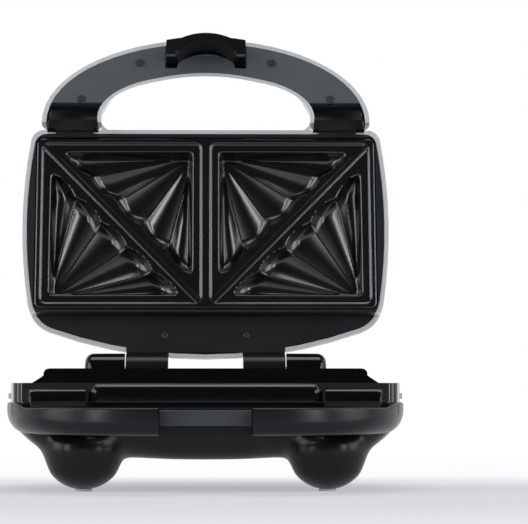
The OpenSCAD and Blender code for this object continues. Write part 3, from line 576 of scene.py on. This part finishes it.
# The body's outline from above, drawn in by inset, as evenly spaced points
def bodyOutline(inset, values):
    sideCentre = (values["halfWidth"] - values["sideRadius"], 0.0)
    rearCentre = (0.0, values["rear"] - values["rearRadius"])
    side, rear = values["sideRadius"] - inset, values["rearRadius"] - inset
    small = max(values["frontCorner"] - inset / 3, 3.0)
    large = max(values["cornerRadius"] - inset / 3, 6.0)
    fy = values["front"] + inset + small
    frontCentre = (sideCentre[0] + math.sqrt((side - small) ** 2 - fy * fy), fy)
    cornerCentre = crossing(sideCentre, side - large, rearCentre, rear - large)
    a1 = math.atan2(frontCentre[1], frontCentre[0] - sideCentre[0])
    a2 = math.atan2(cornerCentre[1], cornerCentre[0] - sideCentre[0])
    a3 = math.atan2(cornerCentre[1] - rearCentre[1], cornerCentre[0])
    half = [(0.0, values["front"] + inset)] + arcPoints(frontCentre, small, -math.pi / 2, a1, 10)
    half += arcPoints(sideCentre, side, a1, a2, 24)[1:]
    half += arcPoints(cornerCentre, large, a2, a3, 12)[1:]
    half += arcPoints(rearCentre, rear, a3, math.pi / 2, 16)[1:]
    whole = half + [(-x, y) for x, y in reversed(half[1:-1])] + [half[0]]
    lengths = [0.0]
    for first, second in zip(whole, whole[1:]):
        lengths.append(lengths[-1] + math.dist(first, second))
    points, at = [], 0
    for k in range(values["around"]):
        goal = lengths[-1] * k / values["around"]
        while lengths[at + 1] < goal:
            at += 1
        share = (goal - lengths[at]) / max(lengths[at + 1] - lengths[at], 1e-9)
        points.append((whole[at][0] + share * (whole[at + 1][0] - whole[at][0]),
                       whole[at][1] + share * (whole[at + 1][1] - whole[at][1])))
    return points


def buildHousing():
    values = housingValues
    edge, belly, power = values["edge"], values["belly"], values["power"]
    rings = [(0.0, values["rim"]), (0.0, (values["rim"] + edge) / 2)]
    for k in range(values["arcSteps"] + 1):
        angle = math.radians(90 * k / values["arcSteps"])
        rings.append((values["run"] * (1 - math.cos(angle) ** power),
                      edge - (edge - belly) * math.sin(angle) ** power))
    outlines = [bodyOutline(inset, values) for inset, z in rings]
    bottom, middle = outlines[-1], values["middle"]
    for share in (0.8, 0.6, 0.4, 0.2, 0.0):
        outlines.append([(x * share, middle + (y - middle) * share) for x, y in bottom])
        rings.append((0.0, belly))

    def place(column, row):
        x, y = outlines[row][column % values["around"]]
        z = rings[row][1]
        sag = values["sag"] * clampUnit(1 - (x / values["sagHalf"]) ** 2)
        return x, y, z - sag * easeStep((values["sagFrom"] - z) / values["sagFade"])

    shell = bentGrid(values["around"], len(rings) - 1, place, closeEnds=False)
    lowest = min(shell.data.polygons, key=lambda face: face.center.z)
    if lowest.normal.z > 0:
        editMesh(shell, (meshOps.flip_normals, {}))
    applyModifier(shell, "SOLIDIFY", thickness=values["wall"] * mm, offset=-1.0)
    footLow, footHigh = values["footSpan"]
    balls = []
    for x, y in values["feet"]:
        for side in (-1, 1):
            ball = addShape(meshOps.primitive_uv_sphere_add, segments=64, ring_count=40,
                            radius=values["footRadius"] * mm,
                            location=(side * x * mm, y * mm + middleY, values["footHeight"] * mm))
            applyTransform()
            # The ball stops below the housing's rim and ends level above its pad
            for vertex in ball.data.vertices:
                vertex.co.z = min(max(vertex.co.z, footLow * mm), footHigh * mm)
            balls.append(ball)
    piece = joinPieces(shell, balls)
    applyModifier(piece, "REMESH", mode="VOXEL", voxel_size=values["voxel"] * mm, adaptivity=0.0)
    fillet = piece.vertex_groups.new(name="fillet")
    level = piece.vertex_groups.new(name="level")
    for vertex in piece.data.vertices:
        x, y, z = vertex.co.x / mm, (vertex.co.y - middleY) / mm, vertex.co.z / mm
        near = min(math.hypot(abs(x) - fx, y - fy) for fx, fy in values["feet"])
        away = abs(near - values["footRadius"])
        weight = easeStep(1.5 - away / values["fillet"]) * easeBand(z, *values["filletBand"])
        fillet.add([vertex.index], weight, "REPLACE")
        level.add([vertex.index], easeBand(z, *values["levelBand"]), "REPLACE")
    for group, steps in (("fillet", values["filletSteps"]), ("level", values["levelSteps"])):
        applyModifier(piece, "SMOOTH", factor=0.5, iterations=steps, vertex_group=group)
    smoothByAngle(piece, 50)
    finishPiece(piece, "lowerHousing", "base", finishes["housing"], ["lower_housing"])
    print("housing", len(piece.data.polygons), "faces")


# The hand hole is fuller than an oval: one widening, in the closed position, for all round it
holeValues = {"halfX": 72.0, "halfY": 34.0, "root": -67.5, "push": 3.6, "slack": 2, "fade": 30.0,
              "from": 30.0, "over": 15.0}


def openHole(piece, lid=False):
    values = holeValues
    halfX, halfY = values["halfX"], values["halfY"]
    if lid:
        piece.data.transform(lidTurn.inverted())
    for vertex in piece.data.vertices:
        x, y = vertex.co.x / mm, (vertex.co.y - middleY) / mm - values["root"]
        oval = math.hypot(x / halfX, y / halfY)
        if y < 0 and oval > 0:
            past = math.hypot(x, y) * (1 - 1 / oval)
            angle = math.atan2(-y / halfY, abs(x) / halfX)
            share = 1 - easeStep((past - values["slack"]) / values["fade"])
            share *= math.sin(2 * angle) * easeStep((abs(x) - values["from"]) / values["over"])
            vertex.co.x += math.copysign(values["push"] * share * mm, x)
    if lid:
        piece.data.transform(lidTurn)


# Lower handle: a bar that leaves the body's sides without a step, with the notch for the latch
handleValues = {
    "halfWidth": 124.6, "start": -20.0, "reach": 108.2, "power": 2.4, "frontReach": 60.7,
    "straightSteps": 10, "turnSteps": 72, "rollSteps": 10, "roll": (12.5, 14.5),
    "rollLess": (5.5, 6.0), "forwardFrom": -70, "forwardSpan": 45, "top": 52.0, "bottom": 35.6,
    "rimRise": 3.0, "rimFrom": -80, "rimSpan": 18, "lip": 2.4, "floor": 48.6, "notchHalf": 28.2,
    "notchBack": -108.9, "notchFloor": 41.2, "notchDeeper": 2.2, "edge": 0.45}


def buildLowerHandle():
    values, hole = handleValues, holeValues
    start, root, power = values["start"], hole["root"], values["power"]
    lip, floor, bottom, inTop = values["lip"], values["floor"], values["bottom"], values["top"]

    def sideX(y):
        share = clampUnit((start - y) / values["reach"])
        return values["halfWidth"] * (1 - share ** power) ** (1 / power)

    def straight(side, k):
        y = start - 1 + (root - start + 1) * k / values["straightSteps"]
        return (side * sideX(y), y), (side * hole["halfX"], y)

    count = values["straightSteps"]
    stations = [straight(-1, k) for k in range(count)]
    for k in range(values["turnSteps"] + 1):
        angle = math.radians(180 + 180 * k / values["turnSteps"])
        y = root + values["frontReach"] * math.sin(angle)
        x = math.copysign(sideX(y), math.cos(angle)) if 2 * k != values["turnSteps"] else 0.0
        stations.append(((x, y), (hole["halfX"] * math.cos(angle),
                                  root + hole["halfY"] * math.sin(angle))))
    stations += [straight(1, k) for k in range(count - 1, -1, -1)]

    # Points as (side, distance in from it, height): "o" from the outside, "i" from the hole
    def section(y):
        forward = easeStep((values["forwardFrom"] - y) / values["forwardSpan"])
        top = inTop + values["rimRise"] * easeStep((y - values["rimFrom"]) / values["rimSpan"])
        run, rise = [full - less * forward for full, less in zip(values["roll"], values["rollLess"])]
        points = [("o", lip, floor), ("o", lip, top - 0.3), ("o", lip - 0.3, top),
                  ("o", 1.6, top), ("o", 0.8, top - 0.22), ("o", 0.22, top - 0.8),
                  ("o", 0.0, top - 1.6)]
        for k in range(values["rollSteps"] + 1):
            bend = math.radians(90 * k / values["rollSteps"])
            points.append(("o", run * (1 - math.cos(bend)), bottom + rise * (1 - math.sin(bend))))
        points += [("i", 2.5, bottom), ("i", 0.7, bottom + 0.8), ("i", 0.0, bottom + 2.6),
                   ("i", 0.0, inTop - 0.8), ("i", 0.8, inTop), ("i", lip - 0.3, inTop),
                   ("i", lip, inTop - 0.3), ("i", lip, floor), ("o", lip, floor)]
        return points

    def place(column, row):
        outer, inner = stations[column]
        which, offset, z = section(outer[1])[row]
        length = math.dist(outer, inner)
        ux, uy = (outer[0] - inner[0]) / length, (outer[1] - inner[1]) / length
        if which == "o":
            return outer[0] - ux * offset, outer[1] - uy * offset, z
        return inner[0] + ux * offset, inner[1] + uy * offset, z

    piece = bentGrid(len(stations) - 1, len(section(0)) - 1, place)
    openHole(piece)
    half, back, low = values["notchHalf"], values["notchBack"], values["notchFloor"]
    cutAway(piece, roundBox((-half, -150, low), (half, back, 70), 0))
    cutAway(piece, roundBox((-half, -150, 20), (half, back + values["notchDeeper"], low + 0.1), 0))
    bevelSharp(piece, values["edge"], 2, 50)
    smoothByAngle(piece, 40)
    evenNormals(piece)
    finishPiece(piece, "lowerHandle", "base", finishes["housing"], ["lower_housing"])
    print("lower handle", len(piece.data.polygons), "faces")


# Base frame: its front wall between the handle roots, set off by round corners
frontWallValues = {"half": 72.2, "front": -71.3, "back": -63.0, "bottom": 55.4, "top": 67.0,
                   "round": 7.0, "spare": 8}


def buildFrontWall():
    values = frontWallValues
    half, back, bottom, spare = values["half"], values["back"], values["bottom"], values["spare"]
    piece = roundBox((-half, values["front"], bottom - spare), (half, back + spare, values["top"]),
                     values["round"], 8)
    # The rounding is kept only where it shows
    cutAway(piece, roundBox((-100, -100, 30), (100, -30, bottom), 0))
    cutAway(piece, roundBox((-100, back, 30), (100, -30, 90), 0))
    smoothByAngle(piece, 40)
    finishPiece(piece, "frontWall", "base", finishes["frame"])


# The catch that the latch's claws hold, a slightly lighter face in the notch
catchValues = {"half": 27.9, "front": -109.7, "back": -107.0, "bottom": 41.2, "top": 50.6, "round": 0.4}


def buildCatchPlate():
    values = catchValues
    piece = roundBox((-values["half"], values["front"], values["bottom"]),
                     (values["half"], values["back"], values["top"]), values["round"])
    smoothByAngle(piece, 40)
    finishPiece(piece, "catchPlate", "base", finishes["catch"])


# Half-round plate behind the latch's arch, level with the handle cover
archValues = {"half": 20.5, "back": -106.5, "front": -116.6, "low": 53.05, "high": 55.2,
              "steps": 24, "power": 0.8, "overlap": 0.4}


def buildArchPlate():
    values = archValues
    back, low, high = values["back"], values["low"], values["high"]

    def place(column, row):
        share = 2 * column / values["steps"] - 1
        bulge = (values["front"] - back) * math.sqrt(max(1 - share * share, 0.0)) ** values["power"]
        tip = back + (bulge - values["overlap"])
        y, z = [(back, low), (tip, low), (tip, high), (back, high), (back, low)][row]
        return share * values["half"], y, z

    piece = bentGrid(values["steps"], 4, place)
    piece.data.transform(lidTurn)
    smoothByAngle(piece, 40)
    finishPiece(piece, "archPlate", "lid", finishes["cover"])


# Base frame: rounded handle roots, a wider rear ledge and hinge towers that end in a soft round
frameValues = {"rootFront": -80.0, "rootTop": 63.3, "rootRound": 7.5, "ledgeFrom": 67.2,
               "ledgeTo": 76.7, "ledgeSpread": 3.4, "ledgeFront": 60, "ledgeBack": 93,
               "ledgeFade": 10, "ledgeHalf": (60, 112), "towerFrom": 76.9, "towerFront": 70,
               "towerRound": 3.6}


# Bevels the edges that have both ends where wanted says
def bevelWhere(piece, label, wanted, width, **settings):
    count = 0
    for edge in piece.data.edges:
        if all(wanted(piece.data.vertices[k].co) for k in edge.vertices):
            edge.select = True
            count += 1
    print(label, "edges", count)
    bpy.ops.object.mode_set(mode="EDIT")
    meshOps.select_mode(type="EDGE")
    if count:
        meshOps.bevel(offset=width * mm, affect="EDGES", **settings)
    meshOps.select_all(action="DESELECT")
    bpy.ops.object.mode_set(mode="OBJECT")


def shapeBaseFrame(piece):
    values = frameValues
    ledgeInner, ledgeOuter = values["ledgeHalf"]
    for vertex in piece.data.vertices:
        x, y, z = vertex.co.x / mm, (vertex.co.y - middleY) / mm, vertex.co.z / mm
        if y > values["ledgeFront"] and z > values["ledgeFrom"] and ledgeInner < abs(x) < ledgeOuter:
            rise = (z - values["ledgeFrom"]) / (values["ledgeTo"] - values["ledgeFrom"])
            share = min(rise, 1.0) * clampUnit((values["ledgeBack"] - y) / values["ledgeFade"])
            vertex.co.x += math.copysign(values["ledgeSpread"] * share * mm, x)
    pickOnly(piece)
    bpy.ops.object.mode_set(mode="EDIT")
    meshOps.select_all(action="DESELECT")
    bpy.ops.object.mode_set(mode="OBJECT")

    def onRoot(point):
        return (abs(point.z / mm - values["rootTop"]) < 0.2
                and abs((point.y - middleY) / mm - values["rootFront"]) < 0.25)

    def onTower(point):
        return abs(abs(point.x) - widest) < 0.1 * mm and point.z / mm > values["towerFrom"]

    bevelWhere(piece, "root", onRoot, values["rootRound"], segments=9)
    widest = max(abs(v.co.x) for v in piece.data.vertices if v.co.z / mm > values["towerFrom"]
                 and v.co.y > middleY + values["towerFront"] * mm)
    bevelWhere(piece, "tower", onTower, values["towerRound"], segments=6, clamp_overlap=True)
    bpy.context.tool_settings.mesh_select_mode = (True, False, False)


# Lid shell: the inner wall of the handle hole leans back, and the rear screw bosses stay narrow
shellValues = {"lean": 0.42, "leanFrom": -80.5, "leanFade": 9, "from": 53.0, "fade": 17.0,
               "boss": (85.3, -84.8), "bossReach": 3.9, "bossTop": 71, "bossShare": 0.6}


def shapeLidShell(piece):
    values, root = shellValues, holeValues["root"]
    bossX, bossY = values["boss"]
    narrow = values["bossShare"]
    piece.data.transform(lidTurn.inverted())
    for vertex in piece.data.vertices:
        x, y, z = vertex.co.x / mm, (vertex.co.y - middleY) / mm, vertex.co.z / mm
        if y < root - 1 and z > values["from"]:
            radius = math.hypot(x, y - root)
            oval = math.hypot(x / holeValues["halfX"], (y - root) / holeValues["halfY"])
            past = radius * (1 - 1 / oval) if oval > 0 else 0
            share = easeStep(1 - past / values["fade"])
            share *= easeStep((values["leanFrom"] - y) / values["leanFade"])
            lean = values["lean"] * (z - values["from"]) * share
            if past > -1:
                vertex.co.x += lean * x / radius * mm
                vertex.co.y += lean * (y - root) / radius * mm
        away = math.hypot(abs(x) - bossX, y - bossY)
        if away < values["bossReach"] and z < values["bossTop"]:
            vertex.co.x = (bossX + (abs(x) - bossX) * narrow) * mm * math.copysign(1, x)
            vertex.co.y = (bossY + (y - bossY) * narrow) * mm + middleY
    piece.data.transform(lidTurn)


# Lid: black lining of the two handle legs, between the silver lips
liningValues = {"from": -81.8, "to": -65.9, "outerHalf": 113.0, "outerReach": 61.5, "lip": 3.05,
                "innerLip": 2.45, "wall": 0.5, "chamfer": 0.8, "floor": 64.3, "low": 54.4,
                "thick": 1.4, "steps": 14, "riseFrom": -68.2, "riseSpan": 2.0, "rise": 3.2,
                "rimLeft": 0.4, "stepFrom": -73.5, "stepSpan": 1.0, "step": 0.5}


def buildLegLinings():
    values, hole = liningValues, holeValues
    wall, chamfer, thick = values["wall"], values["chamfer"], values["thick"]
    for side, label in ((-1, "Left"), (1, "Right")):
        def place(column, row):
            share = column / values["steps"]
            y = values["from"] + (values["to"] - values["from"]) * share
            reach = min(y, hole["root"]) - hole["root"]
            outer = values["outerHalf"] * math.sqrt(1 - (reach / values["outerReach"]) ** 2)
            outer -= values["lip"]
            inner = hole["halfX"] * math.sqrt(1 - (reach / hole["halfY"]) ** 2) + values["innerLip"]
            rise = easeStep((y - values["riseFrom"]) / values["riseSpan"])
            floor = values["floor"] + values["rise"] * rise
            low = values["low"] + (floor - values["rimLeft"] - values["low"]) * rise
            # A shallow step across the lining, where the roots meet
            floor -= values["step"] * easeStep((values["stepFrom"] - y) / values["stepSpan"])
            ring = [(outer, low), (outer - wall, low), (outer - wall, floor - chamfer),
                    (outer - wall - chamfer, floor), (inner + wall + chamfer, floor),
                    (inner + wall, floor - chamfer), (inner + wall, low), (inner, low),
                    (inner, floor + thick), (outer, floor + thick), (outer, low)]
            x, z = ring[row]
            return side * x, y, z

        piece = bentGrid(values["steps"], 10, place)
        openHole(piece)
        piece.data.transform(lidTurn)
        smoothByAngle(piece, 50)
        finishPiece(piece, "legLining" + label, "lid", finishes["legBlack"])


# Silver fillets in the lower corners of the handle hole
filletValues = {"x": 72.6, "y": -67.0, "radius": 8.5, "low": 69.3, "high": 74.0, "steps": 10}


def buildHoleFillets():
    values = filletValues
    radius, low, high = values["radius"], values["low"], values["high"]
    for side, label in ((-1, "Left"), (1, "Right")):
        def place(column, row):
            angle = math.radians(90 * column / values["steps"])
            x, y = radius - radius * math.cos(angle), radius - radius * math.sin(angle)
            ring = [(x, y, low), (x, y, high), (0.0, 0.0, high), (0.0, 0.0, low), (x, y, low)]
            dx, dy, z = ring[row]
            return side * (values["x"] - dx), values["y"] - dy, z

        piece = bentGrid(values["steps"], 4, place)
        piece.data.transform(lidTurn)
        smoothByAngle(piece, 40)
        finishPiece(piece, "holeFillet" + label, "lid", finishes["silver"])


# Screw heads with a cross recess, modelled once and copied
screwValues = {"radius": 2.35, "height": 0.5, "edge": 0.18, "slot": 0.55, "slotLength": 1.5,
               "slotHeight": 0.6, "sink": 0.12, "handle": ((45.0, -111.5), (85.3, -84.8)),
               "handleZ": 52.6, "frame": ((27.8, 78.0),), "frameZ": 77.6}


def screwHead():
    values = screwValues
    head = addShape(meshOps.primitive_cylinder_add, vertices=40, radius=values["radius"] * mm,
                    depth=values["height"] * mm)
    bevelSharp(head, values["edge"], 2, 30)
    for turn in (45, 135):
        slotCutter = addShape(meshOps.primitive_cube_add, size=1.0,
                              location=(0, 0, -values["height"] * mm / 2),
                              rotation=(0, 0, math.radians(turn)))
        slotCutter.scale = (2 * values["slotLength"] * mm, values["slot"] * mm,
                            values["slotHeight"] * mm)
        applyTransform()
        cutAway(head, slotCutter)
    smoothByAngle(head, 30)
    return head


def buildScrewHeads():
    values = screwValues
    head = screwHead()
    for key, name in (("handle", "handleScrewHeads"), ("frame", "frameScrewHeads")):
        z = (values[key + "Z"] - values["sink"]) * mm
        heads = []
        for x, y in values[key]:
            for side in (-1, 1):
                copy = duplicateOf(head)
                copy.location = (side * x * mm, y * mm + middleY, z)
                applyTransform()
                heads.append(copy)
        piece = joinPieces(heads[0], heads[1:])
        openHole(piece)
        piece.data.transform(lidTurn)
        finishPiece(piece, name, "lid", finishes["screw"])
    bpy.data.objects.remove(head, do_unlink=True)


buildHousing()
buildLowerHandle()
buildFrontWall()
buildCatchPlate()
buildLegLinings()
buildArchPlate()
buildHoleFillets()
buildScrewHeads()

# Mouldings that keep the CAD shape: copies with rounded edges, four of them round the hand hole
roundings = {
    "base_frame": ("baseFrame", "base", "frame_black", "frame", 0.9),
    "lower_handle_cover": ("lowerHandleCover", "base", "housing_black", "housing", 0.3),
    "lid_shell": ("lidShell", "lid", "lid_silver", "silver", 0.7),
    "lid_frame": ("lidFrame", "lid", "liner_grey", "liner", 0.6),
    "handle_cover": ("handleCover", "lid", "cover_slate", "cover", 0.3),
    "latch": ("latchPiece", "latch", "latch_black", "latch", 0.7),
}
for nodeName, (name, body, slotName, finish, edge) in roundings.items():
    reshape = {"base_frame": shapeBaseFrame, "lid_shell": shapeLidShell}.get(nodeName)
    piece = roundedCopy(nodeName, edge, reshape)
    if nodeName in ("base_frame", "lower_handle_cover", "lid_shell", "handle_cover"):
        openHole(piece, lid=body == "lid")
    finishPiece(piece, name, body, finishes[finish], [nodeName])
    print("rounded", name, len(piece.data.polygons))


# Floor, white behind the toaster and a pale lilac grey in front of it, where the grey is painted shade
floorValues = {"near": (0.60, 0.585, 0.63), "far": (1.0, 1.0, 1.0), "from": -0.02, "to": 0.2,
               "glow": 0.72, "distant": (0.3, 0.75), "base": (0.82, 0.81, 0.84, 1)}


def buildStage():
    values = floorValues
    floor = addShape(meshOps.primitive_plane_add, size=30.0, location=(0, 0, 0))
    floor.name = "floor"
    material, tree, shader, place = startMaterial("paleFloor")
    setInputs(tree, shader, {"Base Color": values["base"], "Roughness": 0.9,
                             "Specular IOR Level": 0.1})
    split = addNode(tree, "SeparateXYZ", {"Vector": place})
    length = addNode(tree, "VectorMath", {0: place}, operation="LENGTH")
    # White again well away from the toaster, on every side
    behind = ramp(tree, split.outputs["Y"], 0.0, 1.0, values["from"], values["to"])
    distant = ramp(tree, length.outputs["Value"], 0.0, 1.0, *values["distant"])
    white = combine(tree, "MAXIMUM", behind, distant)
    # The near colour glows on the floor in front of and under the toaster as painted shade
    colour = mixColour(tree, white, values["near"], values["far"])
    light = addNode(tree, "Emission", {"Color": colour})
    path = addNode(tree, "LightPath").outputs
    mirrored = combine(tree, "MAXIMUM", path["Is Glossy Ray"], path["Is Transmission Ray"])
    seen = combine(tree, "MAXIMUM", path["Is Camera Ray"], mirrored)
    share = combine(tree, "MULTIPLY", ramp(tree, distant, values["glow"], 1.0, 0.0, 1.0), seen)
    mix = mixShader(tree, share, shader.outputs["BSDF"], light.outputs["Emission"])
    setInputs(tree, tree.nodes["Material Output"], {"Surface": mix})
    floor.data.materials.append(material)


worldValues = {"back": (1, 1, 1, 1), "room": (0.9, 0.93, 1.0, 1), "roomStrength": 0.55,
               "gloss": (0.93, 0.95, 1.0, 1), "glossStrength": (0.05, 1.0), "turn": (-0.1, 0.35)}


def buildWorld():
    values = worldValues
    world = bpy.data.worlds.new("studio")
    bpy.context.scene.world = world
    world.use_nodes = True
    tree = world.node_tree
    back = tree.nodes["Background"]
    setInputs(tree, back, {"Color": values["back"], "Strength": 1.0})
    room = addNode(tree, "Background", {"Color": values["room"], "Strength": values["roomStrength"]})
    # Gloss sees the white studio behind and a dark room in front
    place = addNode(tree, "TexCoord")
    split = addNode(tree, "SeparateXYZ", {"Vector": place.outputs["Generated"]})
    strength = ramp(tree, split.outputs["Y"], *values["glossStrength"], *values["turn"])
    gloss = addNode(tree, "Background", {"Color": values["gloss"], "Strength": strength})
    path = addNode(tree, "LightPath").outputs
    mirrored = mixShader(tree, path["Is Glossy Ray"], room.outputs["Background"],
                         gloss.outputs["Background"])
    mix = mixShader(tree, path["Is Camera Ray"], mirrored, back.outputs["Background"])
    setInputs(tree, tree.nodes["World Output"], {"Surface": mix})


# Name, place, height of the aim above the floor's middle, size and power
lamps = [("leftBox", (-1.7, -0.45, 0.7), 0.15, (0.8, 1.5), 15),
         ("rightBox", (1.7, -0.45, 0.7), 0.15, (0.8, 1.5), 15),
         ("frontLeftBox", (-1.35, -1.35, 0.6), 0.03, (0.24, 1.3), 11),
         ("frontRightBox", (1.35, -1.35, 0.6), 0.03, (0.24, 1.3), 11),
         ("topBox", (0, 0.12, 1.9), 0.12, (1.6, 0.8), 13)]
coolWhite = (0.95, 0.98, 1.0)


def addLamp(name, place, aim, size, power):
    data = bpy.data.lights.new(name, "AREA")
    data.shape = "RECTANGLE"
    data.size, data.size_y = size
    data.energy = power
    data.color = coolWhite
    lamp = bpy.data.objects.new(name, data)
    bpy.context.scene.collection.objects.link(lamp)
    lamp.location = place
    lamp.rotation_euler = (Vector((0, 0, aim)) - Vector(place)).to_track_quat("-Z", "Y").to_euler()


cameraValues = {"eyeHeight": 67.0, "distance": 1750.0, "forward": 3, "pitch": 2.53, "yaw": -1.22,
                "lens": 186.6, "sensor": 36.0, "clip": 50.0}


def buildCamera():
    values = cameraValues
    data = bpy.data.cameras.new("camera")
    data.lens = values["lens"]
    data.sensor_width = values["sensor"]
    data.clip_end = values["clip"]
    camera = bpy.data.objects.new("camera", data)
    bpy.context.scene.collection.objects.link(camera)
    camera.location = (0, middleY - values["forward"] * mm - values["distance"] * mm,
                       values["eyeHeight"] * mm)
    camera.rotation_euler = (math.radians(90 + values["pitch"]), 0, math.radians(values["yaw"]))
    bpy.context.scene.camera = camera


buildStage()
buildWorld()
for lamp in lamps:
    addLamp(*lamp)
buildCamera()
bpy.context.scene.view_settings.view_transform = "Standard"
print("stage set")
